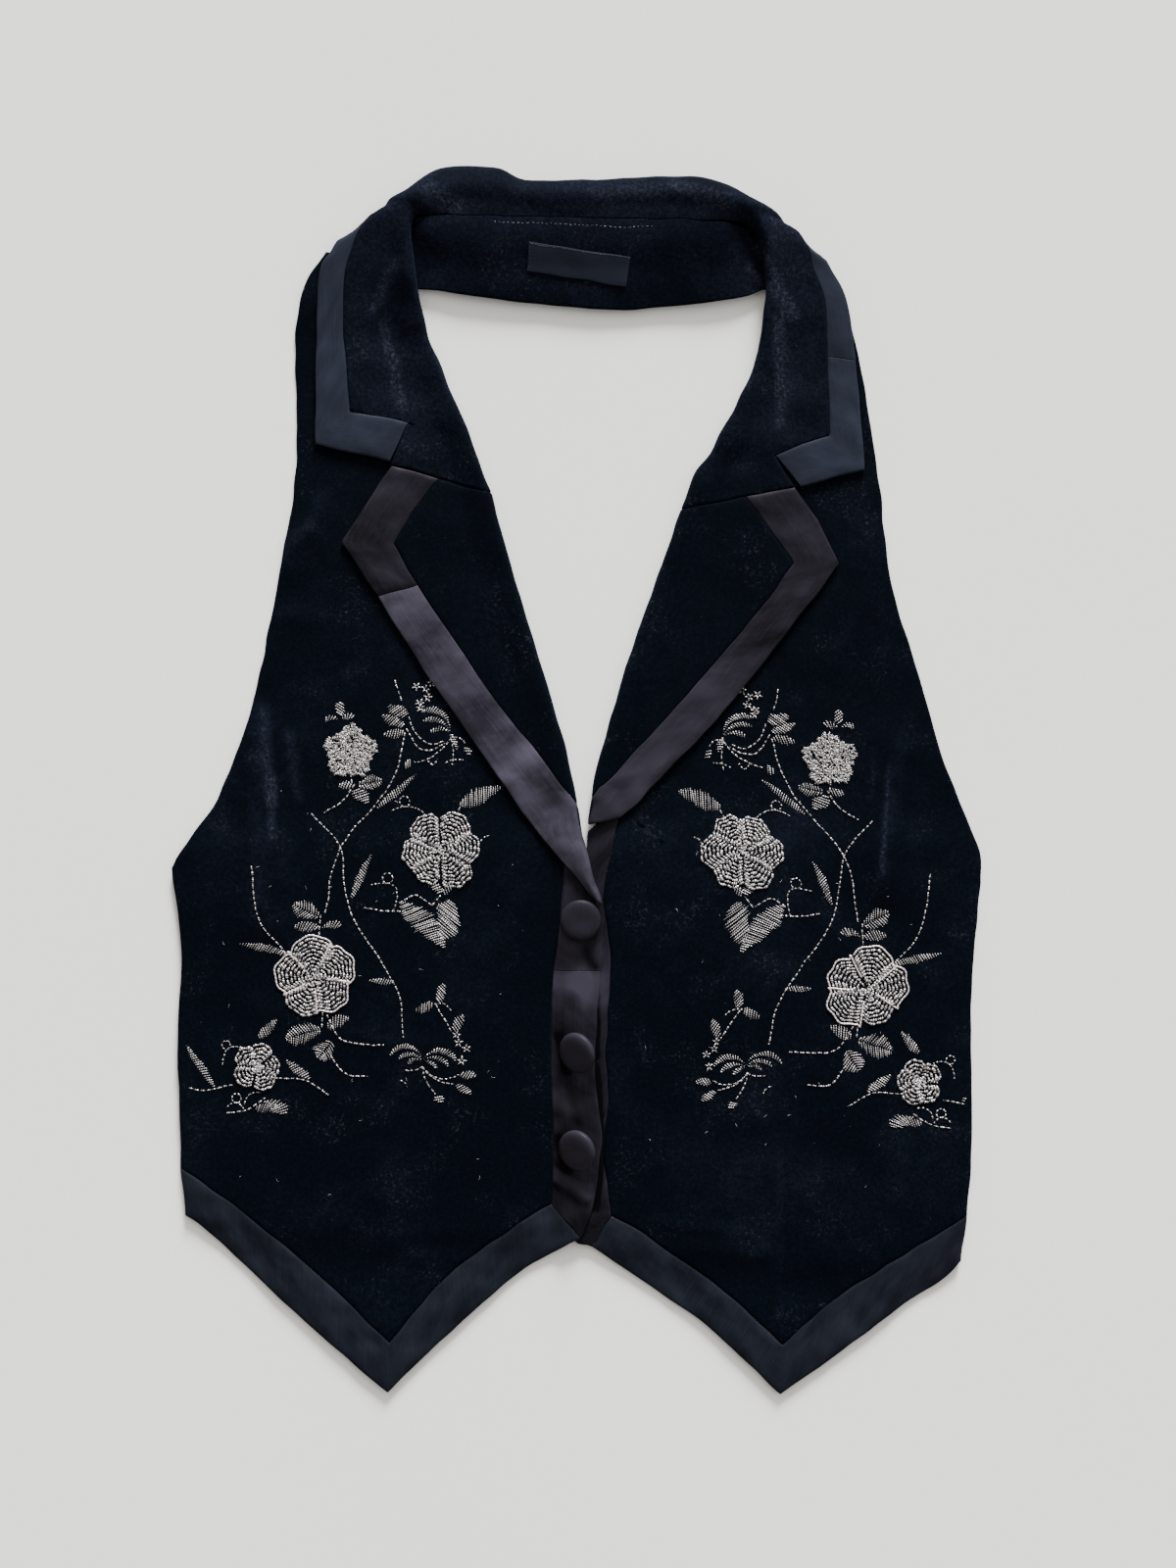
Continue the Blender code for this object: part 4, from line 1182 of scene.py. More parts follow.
def new_piece(name: str, points: Array, faces: Array, flat: Array, finish: Finish,
              tone: Array) -> bpy.types.Object:
    """A mesh object with its place in its mesh.

    Args:
        name: The piece's name.
        points: Vertices, in millimetres.
        faces: Quads of vertex numbers.
        flat: Each vertex's place on the cloth or thread, in millimetres.
        finish: Its finish.
        tone: How much each vertex adds to the sheen and shade painted into its colour and to its
            crushed pile.

    Returns:
        The object.
    """
    mesh = bpy.data.meshes.new(name)
    points = points + np.stack([WAVER * soft_waves(points, WAVER_SIZE, Pattern.WAVER_X),
                                WAVER * soft_waves(points, WAVER_SIZE, Pattern.WAVER_Y),
                                np.zeros(len(points))], axis=-1)
    mesh.from_pydata((points * MM).tolist(), [], faces.tolist())
    layer = mesh.uv_layers.new(name="UVMap")
    corners = np.empty(len(mesh.loops), dtype=np.int64)
    mesh.loops.foreach_get("vertex_index", corners)
    layer.data.foreach_set("uv", (flat[corners] * MM).astype(np.float32).ravel())
    piece = bpy.data.objects.new(name, mesh)
    bpy.context.scene.collection.objects.link(piece)
    dress(piece, tone, finish)
    return piece


def dress(piece: bpy.types.Object, tone: Array, finish: Finish) -> None:
    """Gives a piece its tone, its finish and smooth shading.

    Args:
        piece: The piece.
        tone: How much each vertex adds to the sheen and shade painted into its colour and to its
            crushed pile.
        finish: Its finish.
    """
    values = piece.data.attributes.new("crush", "FLOAT", "POINT")
    values.data.foreach_set("value", tone.astype(np.float32))
    piece.data.materials.clear()
    piece.data.materials.append(finish.material)
    piece.data.shade_smooth()


def roll_way(edge: Array, outer: Array) -> tuple[Array, float]:
    """Direction and radius of the roll at one place on the neck edge."""
    width = np.linalg.norm(outer - edge)
    return (outer - edge) / width, float(np.clip(ROLL_SHARE * width, TIGHT_ROLL, ROLL))


def folded_path(edge: Array, seam: Array, outer: Array,
                level: Level) -> tuple[Array, float, float]:
    """Cloth that rolls over the neck edge and lies on the front.

    Args:
        edge: The rolled edge in plan.
        seam: Where the satin starts.
        outer: The satin's own edge.
        level: Height of the front that the cloth lies on.

    Returns:
        The path from the seam under the roll to the outer edge, the distance along it to the
        satin seam, and the length of the roll.
    """
    way, radius = roll_way(edge, outer)
    low = level(edge + way * radius)
    angles = np.linspace(-math.pi / 2, math.pi / 2, ROLL_POINTS)
    reach = radius * (1 - np.cos(angles))
    turn = np.column_stack([edge + way * reach[:, None], low + radius * (1 + np.sin(angles))])
    to_seam = np.linalg.norm(seam - edge)
    past_roll = to_seam > radius + TIGHT_ROLL
    corners = [turn[-1, :2], seam, outer] if past_roll else [turn[-1, :2], outer]
    flat = chain(*[resample(np.array(pair), np.linspace(0, 1, FLAT_STEPS + 1))
                   for pair in zip(corners[:-1], corners[1:])])
    run = run_length(flat)
    rest = level(flat) + FOLDED
    settle = 1 - ease(run / min(SETTLE, run[-1]))
    heights = rest + np.maximum(low + 2 * radius - rest[0], 0) * settle
    path = np.vstack([turn, np.column_stack([flat, heights])[1:]])
    if past_roll:
        seam_at = math.pi * radius + run[FLAT_STEPS]
    elif to_seam > radius:
        seam_at = math.pi * radius + to_seam - radius
    else:
        seam_at = radius * (math.pi / 2 + math.acos(1 - to_seam / radius))
    return path, seam_at, math.pi * radius


def slice_path(path: Array, first: float, last: float, turn: float, steps: tuple[int, int],
               least_share: float = 0.0) -> Array:
    """Points of a path between two distances, closer together over the roll.

    Args:
        path: The path.
        first: Distance where the points start.
        last: Distance where they end, or infinity for the path's end.
        turn: Distance where the roll ends.
        steps: Steps over the roll and past it.
        least_share: Least share of the length that the first steps take.

    Returns:
        The points.
    """
    last = min(last, run_length(path)[-1])
    span = last - first
    middle = first + np.clip(turn - first, least_share * span, MOST_TURN * span)
    return points_at(path, np.concatenate([np.linspace(first, middle, steps[0] + 1),
                                           np.linspace(middle, last, steps[1] + 1)[1:]]))


def trimmed(grid: Array, first: float, last: float) -> Array:
    """A grid with its first and last rows moved inwards.

    Args:
        grid: The grid.
        first: How far its first row moves, in millimetres.
        last: How far its last row moves.

    Returns:
        The trimmed grid.
    """
    grid = grid.copy()
    for index, beside, distance in ((0, 1, first), (-1, -2, last)):
        way = grid[beside] - grid[index]
        length = np.linalg.norm(way, axis=1)[:, None]
        grid[index] += way * (distance / np.maximum(length, distance * 2))
    return grid


def neck_line(lapel: Sequence, collar: Sequence, low: float) -> Array:
    """Edge of a front under the roll.

    Args:
        lapel: The lapel's rows.
        collar: The collar's rows over the strap.
        low: Height on the body below which the front has no neck edge.

    Returns:
        Plan points from the placket's top up to the strap seam.
    """
    rows = fine_rows(lapel, LAPEL_CORNERS)[::-1] + fine_rows(collar, COLLAR_CORNERS)[1:]
    starts = []
    for edge, _, outer in rows:
        way, radius = roll_way(edge, outer)
        starts.append(edge + way * (radius + NECK_GAP))
    return np.array([start for start in starts if start[1] > low])


def wrinkled(grid: Array, size: float, height: float, pattern: int) -> Array:
    """A grid with soft wrinkles added along its normals, none at its edges.

    Args:
        grid: The grid.
        size: Distance from one wrinkle to the next.
        height: Height of the wrinkles.
        pattern: Which of many patterns.

    Returns:
        The wrinkled grid.
    """
    across, up = lengths(grid, 1), lengths(grid, 0)
    near = np.minimum(np.minimum(across, across[:, -1:] - across), np.minimum(up, up[-1:] - up))
    wave = height * soft_waves(grid, size, pattern) * ease(near / WRINKLE_EDGE)
    return grid + normals(grid) * wave[..., None]


@dataclass
class Front:
    """A velvet front with its hem band.

    Attributes:
        side: The wearer's side.
        shape: Its outlines.
        lapel: The lapel's rows, whose roll starts at its neck edge.
        collar: The collar's rows over its strap.
        level: Height of its cloth.
        columns: Fine steps in each of the solid's own across it.
        rows: Fine steps in each of the solid's own up it.
        top_steps: Steps across the placket's top.
        band_steps: Steps across the hem band.
        crease_tone: Width and strength of a crease's crushed pile and painted sheen, as shares of
            the crease.
    """

    side: Wearer
    shape: dict
    lapel: Sequence
    collar: Sequence
    level: Level
    columns: int = 8
    rows: int = 6
    top_steps: int = 3
    band_steps: int = 12
    crease_tone: tuple[float, float] = (1.1, 0.13)

    def run(self, keys: Sequence[str], steps: Sequence[int]) -> Array:
        """One polyline across the front through outlines that follow each other."""
        return chain(*[curve(self.shape[key], count * self.columns)
                       for key, count in zip(keys, steps)])

    def filled(self, low: Array, high: Array, outer: Array, inner: Array) -> Array:
        """The cloth's grid inside outlines that run from the side seam inwards and upwards."""
        if self.side is Wearer.LEFT:
            low, high, outer, inner = low[::-1], high[::-1], inner, outer
        return raised(patch(low, high, outer, inner), self.level)

    def panel(self) -> Cloth:
        """The velvet from the hem seam up to the strap's end."""
        top = self.shape["placket_top"]
        neck = np.vstack([top[-1:], neck_line(self.lapel, self.collar, top[-1][1] + NECK_CLEAR),
                          self.shape["neck_end"]])
        centre = chain(curve(self.shape["placket_seam"], PLACKET_STEPS * self.rows),
                       curve(top, self.top_steps), neck)
        side = chain(curve(self.shape["side"], PLACKET_STEPS * self.rows),
                     curve(self.shape["armhole"], len(neck) - 1 + self.top_steps))
        grid = self.filled(self.run(("hem_seam_out", "hem_seam_in"), HEM_STEPS),
                           self.run(("strap_end", "strap_seam"), STRAP_STEPS), side, centre)
        # Crushed pile along every crease, partly painted as sheen
        wider, strength = self.crease_tone
        tone = [(start, end, width * wider, abs(height) * strength)
                for start, end, width, height in CREASES]
        return Cloth(self.side.word + "_front", grid, Finish.VELVET, ("back_panel",),
                     tone=[*FRONT_TONES, *tone])

    def hem_band(self) -> Cloth:
        """The satin band along the hem, mitred at the centre."""
        upper = self.run(("hem_seam_out", "hem_seam_in"), HEM_STEPS)
        lower = self.run(("hem_out", "hem_in"), HEM_STEPS)
        grid = self.filled(lower, upper, curve(self.shape["hem_side"][::-1], self.band_steps),
                           curve((lower[-1], upper[-1]), self.band_steps))
        grid = wrinkled(grid, 16, 0.24, Pattern.HEM + self.side.value)
        return Cloth(self.side.word + "_hem_band", grid, Finish.HEM_SATIN, ("floor",), crown=0.25)


@dataclass
class Placket:
    """Satin bands down the front edges.

    Attributes:
        fine: Fine steps in each of the solid's own along a band.
        join: Step where the right band's two lengths meet.
        shift: Fine steps from there up to their seam.
        columns: Steps across a band.
        edge_steps: Steps down a band's edge, straight and where it folds in at the top.
    """

    fine: int = 7
    join: int = 9
    shift: int = 4
    columns: int = 16
    edge_steps: tuple[int, int] = (180, 72)

    def grid(self, shape: dict, side: Wearer, level: Level) -> Array:
        """Rows across a band from its hem mitre to its top.

        Args:
            shape: Outlines of its front.
            side: The front's side.
            level: Height of its cloth.

        Returns:
            The band's grid.
        """
        steps = PLACKET_STEPS * self.fine
        seam = inset(curve(shape["placket_seam"], steps), side.value * HALF_GAP)
        edge = chain(*[curve(shape[key], count) for key, count
                       in zip(("placket_edge", "placket_fold"), self.edge_steps)])
        edge = resample(edge, np.linspace(0, 1, steps + 1))
        shares = np.linspace(0, 1, self.columns + 1)[None, :, None]
        plan = seam[:, None] * (1 - shares) + edge[:, None] * shares
        return trimmed(raised(plan, level), SEAM_GAP, SEAM_GAP)

    def build(self) -> list[Cloth]:
        """The band underneath, which carries the buttons, and the two lengths on top."""
        under = self.grid(LEFT, Wearer.LEFT, front_level)[:, ::-1]
        top = wrinkled(self.grid(RIGHT, Wearer.RIGHT, lapped_level), 15, 0.15, Pattern.PLACKET)
        top[..., 2] += ridges(top, PLACKET_FOLDS)
        cut = self.join * self.fine + self.shift
        lower, upper = trimmed(top[:cut + 1], 0, HALF_GAP), trimmed(top[cut:], HALF_GAP, 0)
        cloths = [Cloth("left_placket_band", under, Finish.PLACKET_SATIN, ("floor",),
                        tone=PLACKET_TONES + UNDERLAP_TONES)]
        return cloths + [Cloth("right_placket_band_" + word, grid, Finish.PLACKET_SATIN,
                               ("left_placket_band",), tone=PLACKET_TONES,
                               rims=(RIM, RIM, BUTTED_RIM, BUTTED_RIM))
                         for word, grid in (("lower", lower), ("upper", upper))]


@dataclass
class Lapel:
    """A lapel folded back at the neck edge, with its satin band.

    Attributes:
        side: The wearer's side.
        table: Its rows.
        level: Height of the front that it lies on.
        tones: Places where the sheen painted on the band is stronger or weaker.
        join: Row where the band's two lengths meet, if it has two.
        velvet_steps: Steps over the velvet's roll and past it.
        satin_steps: Steps over the satin's roll and past it.
        least_velvet: Narrowest velvet, in tight rolls.
    """

    side: Wearer
    table: Sequence
    level: Level
    tones: Sequence[tuple]
    join: Optional[int] = None
    velvet_steps: tuple[int, int] = (10, 34)
    satin_steps: tuple[int, int] = (8, 14)
    least_velvet: float = 2.4

    def paths(self) -> list[tuple[Array, float, float]]:
        """Section paths, the velvet's share fading away below its lower tip."""
        paths = [folded_path(*row, self.level) for row in fine_rows(self.table, LAPEL_CORNERS)]
        past = 0
        for index, (path, seam_at, turn) in enumerate(paths):
            if seam_at > turn / 2 + HALF_GAP:
                continue
            past += 1
            share = max(0.0, 1 - past / (FADE_SPANS * FINE))
            paths[index] = (path, seam_at * share, turn)
        return paths

    def build(self) -> list[Cloth]:
        """The velvet and the band's lengths."""
        velvet, satin = [], []
        for path, seam, turn in self.paths():
            gap = HALF_GAP if seam > 2 * turn else SEAM_GAP
            if seam > TIGHT_ROLL * self.least_velvet:
                velvet.append(slice_path(path, HALF_GAP, seam - gap, turn, self.velvet_steps))
            satin.append(slice_path(path, seam + gap, math.inf, turn, self.satin_steps,
                                    LEAST_TURN))
        flip = -self.side.value
        velvet = trimmed(np.array(velvet), SEAM_GAP, HALF_GAP)[:, ::flip]
        satin = wrinkled(np.array(satin)[:, ::flip], 17, 0.26, Pattern.LAPEL + self.side.value)
        name, on = self.side.word + "_lapel", (self.side.word + "_front",)
        parts = [(name + "_band", Finish.LAPEL_SATIN, trimmed(satin, SEAM_GAP, 0))]
        if self.join is not None:
            cut = FINE * self.join
            parts = [(name + "_band_upper", Finish.LAPEL_SATIN,
                      trimmed(satin[:cut + 1], SEAM_GAP, HALF_GAP)),
                     (name + "_band_lower", Finish.LAPEL_SATIN_PAINTED_SHEEN,
                      trimmed(satin[cut:], HALF_GAP, 0))]
        return [Cloth(name, velvet, Finish.VELVET, on)] + [
            Cloth(band, grid, finish, on, crown=0.3, tone=self.tones)
            for band, finish, grid in parts]


@dataclass
class Collar:
    """Upper collar in one length round the neck, with its satin band in four lengths.

    Attributes:
        velvet_steps: Steps over the velvet's roll and from there to the seam.
        band_steps: Steps across the band.
        band_turn: Steps of those over the band's roll.
        section_steps: Steps along a drawn section behind the neck.
    """

    velvet_steps: tuple[int, int] = (12, 22)
    band_steps: int = 14
    band_turn: int = 4
    section_steps: int = 120

    def side_sections(self, table: Sequence) -> list[tuple[Array, Array]]:
        """Sections over one strap, from the gorge up.

        Args:
            table: The collar's rows over the strap.

        Returns:
            Velvet points and satin points of each section.
        """
        sections = []
        steps = (self.band_turn, self.band_steps - self.band_turn)
        for row in fine_rows(table, COLLAR_CORNERS):
            path, seam_at, turn = folded_path(*row, front_level)
            sections.append((slice_path(path, HALF_GAP, seam_at - HALF_GAP, turn,
                                        self.velvet_steps),
                             slice_path(path, seam_at + HALF_GAP, math.inf, turn, steps,
                                        LEAST_TURN)))
        return sections

    def neck_sections(self) -> list[tuple[Array, Array]]:
        """Sections round the back of the neck: velvet points and satin points."""
        spans = len(NECK_VELVET_SHARES) - 1
        turn = spans - 5
        over, past = self.velvet_steps
        places = np.concatenate([np.linspace(0, turn, over + 1),
                                 np.linspace(turn, spans, past + 1)[1:]])
        velvet_at = np.interp(places, np.arange(spans + 1), NECK_VELVET_SHARES)
        places = np.linspace(0, len(NECK_SATIN_SHARES) - 1, self.band_steps + 1)
        satin_at = np.interp(places, np.arange(len(NECK_SATIN_SHARES)), NECK_SATIN_SHARES)
        sections = []
        for points in NECK_SECTIONS:
            dense = curve(points, self.section_steps)
            to_seam = np.argmin(np.linalg.norm(dense - np.array(points[-2]), axis=1))
            sections.append((resample(dense[:to_seam + 1], velvet_at),
                             resample(dense[to_seam:], satin_at)))
        return sections

    def build(self) -> list[Cloth]:
        """The velvet and the band's four lengths."""
        right = self.side_sections(RIGHT_COLLAR)
        neck = self.neck_sections()
        left = self.side_sections(LEFT_COLLAR)[::-1]
        coarse = [right[-1 - FINE], right[-1], *neck, left[0], left[FINE]]
        grids = []
        for part, first in ((0, 0), (1, SATIN_FROM * FINE)):
            middle = between([section[part] for section in coarse])[FINE:-FINE]
            grid = ([section[part] for section in right[first:-1]] + middle
                    + [section[part] for section in left[1:len(left) - first]])
            grids.append(np.array(grid)[:, ::-1])
        velvet = wrinkled(trimmed(grids[0], SEAM_GAP, SEAM_GAP), 30, 0.3, Pattern.COLLAR)
        satin = wrinkled(grids[1], 15, 0.16, Pattern.COLLAR_BAND)
        first = FINE * (len(RIGHT_COLLAR) - 1 - SATIN_FROM + TURNED_OVER)
        last = first + FINE * (len(neck) - 2 * TURNED_OVER + 1)
        join = last + FINE * TURNED_OVER
        turn = TURN_GAP / 2
        parts = (("right_collar_band", satin[:first + 1], 0, turn),
                 ("back_collar_band", satin[first:last + 1], turn, turn),
                 ("left_collar_band_upper", satin[last:join + 1], turn, HALF_GAP),
                 ("left_collar_band_lower", satin[join:], HALF_GAP, 0))
        on = ("right_front", "left_front", "back_neck_band")
        cloths = [Cloth("upper_collar", velvet, Finish.VELVET, on, dip=0.0,
                        rims=(RIM, JOINED_RIM, RIM, RIM), tone=COLLAR_TONES)]
        return cloths + [Cloth(name, trimmed(grid, *gaps), Finish.COLLAR_SATIN, on, crown=0.2,
                               rims=(RIM, RIM, BUTTED_RIM, BUTTED_RIM))
                         for name, grid, *gaps in parts]


@dataclass
class Back:
    """The low back panel, the neck band and the blank label on it.

    Attributes:
        panel_steps: Steps up and across the panel.
        band_steps: Steps along and up the neck band.
        label_steps: Steps along and up the label.
    """

    panel_steps: tuple[int, int] = (60, 120)
    band_steps: tuple[int, int] = (110, 24)
    label_steps: tuple[int, int] = (52, 16)

    def panel(self) -> Cloth:
        """The back from side seam to side seam, flat on the surface."""
        up, across = self.panel_steps
        right, left = curve(BACK_RIGHT_SIDE, up), curve(BACK_LEFT_SIDE, up)
        plan = patch(curve(BACK_LOW, across), curve((right[-1], left[-1]), across), right, left)
        grid = raised(plan, lambda points: np.full(points.shape[:2], MID))
        return Cloth("back_panel", grid, Finish.VELVET, ("floor",), dip=0.0)

    def neck_band(self) -> Cloth:
        """The band from strap to strap behind the neck, its inside up."""
        along, up = self.band_steps
        plan = strip(curve(BAND_BOTTOM_EDGE, along), curve(BAND_TOP_EDGE, along), up)
        return Cloth("back_neck_band", raised(plan, band_level), Finish.VELVET,
                     ("upper_collar",), dip=0.0, rims=(RIM, RIM, RIM, JOINED_RIM),
                     tone=COLLAR_TONES)

    def label(self) -> Cloth:
        """The blank woven label."""
        along, up = self.label_steps
        plan = strip(curve(LABEL_LOW, along), curve(LABEL_HIGH, along), up)
        grid = raised(plan, band_level, WALL / 2 + SEAM_GAP + LABEL_WALL / 2)
        return Cloth("neck_label", grid, Finish.RIBBON, ("back_neck_band",), wall=LABEL_WALL,
                     dip=0.1)


# A thread's section: height to width, height of its middle above the cloth in radii, and what
# once round it counts as in its material
FLATNESS, SUNK, ROUND = 0.85, 0.35, 1000.0
# Painted glints: how much the dullest stitches lose and how rare they are; a cord's beads' spacing
# and depth
DULLEST, DULLNESS = 0.6, 2.5
BEAD, BEAD_SWELL = 1.5, 0.06
# Back stitch: its length with the gap, the gap, the shortest that is sewn, how much they vary
# and wander, and its radius on a stem
STITCH, STITCH_GAP, LEAST_STITCH, STITCH_LENGTHS, WANDER = 3.0, 0.7, 0.8, (0.82, 1.12), 0.09
STEM_RADIUS = 0.38
# Tendrils and sprigs: stitches, and the points along a tendril, its loop and a sprig
TENDRIL_RADIUS, TENDRIL_STITCH, SPRIG_STITCH = 0.33, 2.3, 2.6
TENDRIL_POINTS, LOOP_STEPS, SPRIG_STEPS = 60, 24, 20
# Petals: their rows of stitches, outline, waves in it, heart and cords, as shares of their reach
# or in millimetres, and the knots in a flower's middle
ROW_RADIUS, ROW_PITCH, ROW_STITCH, ROW_GAP, ROW_UNEVEN = 0.68, 1.95, 3.6, 0.2, 0.25
PETAL_POINTS = 41
PETAL_DRAW, PETAL_SQUARENESS = 0.22, 2.4
PETAL_DEPTHS = (0.01, 0.03)
PETAL_HEART, PETAL_OVERLAP = 0.16, 1.12
PETAL_REACHES, PETAL_SWAY = (0.92, 1.04), 5
CORD_RADIUS, CORD_LIFT, CORD_POINTS = 0.44, 0.35, 90
CORD_REACH = (0.3, 0.92)
KNOTS, KNOT_RADIUS, KNOT_LENGTH, KNOT_SPREAD, KNOT_LIFT = 40, 0.38, 2.4, 0.11, 0.15
# Ruffled flowers: stitches, edge with its lobes and ruffles, and the stitches' lie
PUFF_STITCHES = 850
PUFF_EDGE, PUFF_LOBES, PUFF_RUFFLES, RUFFLES = 0.9, 0.1, 0.04, 17
PUFF_LENGTHS, PUFF_RADII, PUFF_LIFT, PUFF_SCATTER = (1.6, 3.0), (0.17, 0.34), 0.5, 38
# Leaves of satin stitch: the threads, how their ends are ragged and how they slant
SATIN_RADIUS, SATIN_PITCH, SATIN_LIFT = 0.31, 1.25, 0.14
LEAF_RADII, LEAF_ENDS = (0.55, 1.2), (0.78, 1.1)
LEAF_SLANT, VEINED_SLANT = 0.4, 0.45
LEAF_SWELL, CRESCENT_SWELL, CRESCENT_BEND = 0.85, 1.6, 40
PLAIN_STITCH, VEINED_STITCH = (0, 0.18, 0.5, 0.82, 1), (0.03, 0.3, 0.7, 1)
# Small blossoms: their rays
STAR_RAYS, STAR_RADIUS, STAR_LENGTHS, STAR_SWAY, STAR_TURN = 5, 0.46, (1.6, 2.0), 12, 29
# How far the motifs' easing on the left front reaches, squared
PULL = 300.0

# Embroidery of the right front; the left front has it mirrored. Places and sizes are round
# figures, and every motif is drawn by its own formula.
# Round flowers: x, y, reach, petals, turn of the first petal, corded petals
BLOOMS = (
    (-69, -35, 21.4, 6, 62, ()),
    (-133, -100, 21, 5, 100, (0, 1, 2, 4)),
    (-162, -145, 13.2, 5, 75, ()),
)
# Ruffled flowers: x, y, reach, lobes, turn
PUFFS = ((-115, 15, 14.5, 5, 15),)
# Leaves: x, y, turn, length, width, bend, and the kind of one that isn't plain
LEAVES = (
    (-102, -14, 40, 28, 3.4, 0), (-115, -60, 65, 26, 4, 0), (-146, -88, 165, 27, 4, 5),
    (-92, -102, 175, 14, 3.4, 0), (-184, -156, 123, 27, 3.8, 0), (-135, -152, 140, 17, 4.5, 0),
    (-60, -12, 25, 24, 8.5, -5), (-86, 33, 150, 12, 7, 0), (-87, 28, 155, 14, 5, 0),
    (-87, 25, 185, 12, 5, 0), (-162, -131, 45, 15, 4.8, 0),
    (-130, -69, 155, 16, 9.5, 0, Leaf.VEINED), (-131, -75, 160, 13, 6, 30),
    (-130, -75, 45, 12, 4.5, -80), (-129, -126, 190, 20, 11, 10, Leaf.VEINED),
    (-127, -125, 30, 13, 6.5, -15), (-124, -131, -125, 13, 11, 0, Leaf.VEINED),
    (-121, 33, 80, 8, 5.5, 0), (-120, 31, 50, 8, 4, -80), (-121, 31, 140, 8, 3, 70),
    (-112, -2, 10, 14, 7, 0, Leaf.VEINED), (-114, -2, 180, 8, 4.5, 0), (-113, -3, -50, 11, 7, 0),
    (-68, -57, 135, 8, 4.5, 0), (-68, -57, 45, 8, 4.5, 0), (-164, -166, 5, 14, 5, -10),
    (-160, -163, 0, 14, 8, -60), (-72, -113, 200, 11, 5, 0), (-71, -112, 65, 10, 5.5, 0),
    (-63, -127, 55, 11, 5, 0), (-89, -61, -40, 33, 12, -15), (-63, -60, -100, 22, 14, -10),
)
# Stems in back stitch, through two to five places
STEMS = (
    ((-92, 52), (-89, 40)), ((-87, 25), (-95, -2), (-120, -34), (-128, -68)),
    ((-135, -16), (-120, -34), (-115, -66), (-91, -106), (-88, -131)),
    ((-165, -43), (-161, -70), (-146, -89)), ((-113, -1), (-119, -10), (-129, -16)),
    ((-197, -156), (-188, -157), (-174, -154)), ((-154, -151), (-138, -152), (-125, -160)),
    ((-178, -169), (-168, -167), (-158, -161)), ((-108, -64), (-98, -66), (-86, -66)),
    ((-90, -62), (-82, -58), (-73, -63)), ((-73, -63), (-68, -57)),
    ((-129, -117), (-129, -126)), ((-125, -139), (-117, -149), (-106, -150)),
    ((-130, -68), (-131, -79)), ((-59, -13), (-61, -18)), ((-71, -113), (-63, -128)),
    ((-85, 33), (-81, 24), (-74, 19), (-67, 21)), ((-86, 27), (-81, 18), (-74, 16), (-66, 20)),
    ((-127, -119), (-118, -132), (-97, -134)), ((-115, 4), (-114, -3)),
)
# Tendrils: start, end, bow, radius of the loop and where along it the loop is
TENDRILS = (
    ((-93, -66), (-105, -53), -9, 2.6, 0.72), ((-94, -15), (-76, -18), 4, 2.6, 0.35),
    ((-50, -35), (-44, -27), 2, 0, 0.5), ((-180, -144), (-168, -136), 5, 2.2, 0.5),
    ((-169, -164), (-160, -159), 3, 0, 0.5), ((-72, -113), (-63, -117), 2, 0, 0.5),
    ((-178, -166), (-169, -167), 3, 2.4, 0.5), ((-76, 11), (-71, 12), -3, 0, 0.5),
    ((-67, 9), (-57, 11), 1, 0, 0.5), ((-90, -152), (-86, -156), 1, 0, 0.5),
)
# Sprays: x, y, crescents as turn, bend, length and width, and sprigs as turn, bend, length and
# their buds' turn, length and width
SPRAYS = (
    (-64, 25, ((85, 125, 23, 3.2), (110, 100, 18, 2.6), (140, 80, 12, 2.4), (-60, -25, 10, 2.8)),
     ((30, -110, 10, -70, 6, 3.5), (240, -56, 24, 205, 5, 4.5), (-72, -30, 15))),
    (-78, -142, ((100, 150, 23, 2.6), (125, 110, 15, 2.4), (150, 90, 9, 2),
                 (65, -135, 22, 3), (35, -100, 16, 2.6), (0, -65, 9, 2.2)),
     ((-60, 100, 22, -10, 9, 4.5), (-60, 65, 20, -37, 10, 4.2), (-85, 40, 16, -60, 5, 4.5),
      (215, -60, 11))),
)
# Small knotted blossoms in a heap: x, y of the heap, its reach and how many
HEAPS = ((-77, 47, 4.6, 4), (-80, 40, 2.6, 2), (-61, -129, 0, 1), (-60, -133, 0, 1),
         (-56, -136, 0, 1), (-58, -142, 0, 1))
# Heights up the sheet, and how far out the threads may go there
SIDE_LIMIT = ((-240, -180, -100, -50, 0, 60, 120), (197, 199, 199, 202, 186, 164, 145))
# How the motifs lie on the left front: where each is on the right one, and on the left
LEFT_PLACES = (
    ((-115, 15), (130, 11)), ((-69, -35), (85, -34)), ((-133, -100), (148, -106)),
    ((-163, -145), (175, -154)), ((-71, -70), (90, -71)), ((-78, -141), (85, -144)),
    ((-63, 25), (73, 24)), ((-93, 54), (103, 48)), ((-120, -34), (137, -39)),
)


def turned(turn: Array, reach: Array) -> Array:
    """Plan vectors at angles in degrees and with lengths."""
    angle = np.radians(turn)
    return np.stack([reach * np.cos(angle), reach * np.sin(angle)], axis=-1)


def bent(start: Sequence[float], turn: float, bend: float, length: float, count: int) -> Array:
    """Points of an arc, in count steps; it turns left by bend degrees on its way."""
    ways = turned(turn + bend * (np.arange(count) + 0.5) / count, np.full(count, length / count))
    return np.array(start) + np.vstack([[0, 0], np.cumsum(ways, axis=0)])


def as_sewn(points: Array) -> Array:
    """Motifs as they are drawn, on the right front."""
    return points


def as_mirrored(points: Array) -> Array:
    """Motifs on the left front, mirrored and eased towards where each lies there.

    Args:
        points: Plan points of the drawn motifs.

    Returns:
        Where they lie on the left front.
    """
    total = np.zeros(points.shape)
    weights = np.zeros(points.shape[:-1] + (1,))
    for place, goal in LEFT_PLACES:
        away = np.linalg.norm(points - np.array(place), axis=-1, keepdims=True)
        weight = 1 / (away ** 2 + PULL)
        total += weight * (np.array(goal) - np.array(place) * (-1, 1))
        weights += weight
    return points * (-1, 1) + total / weights


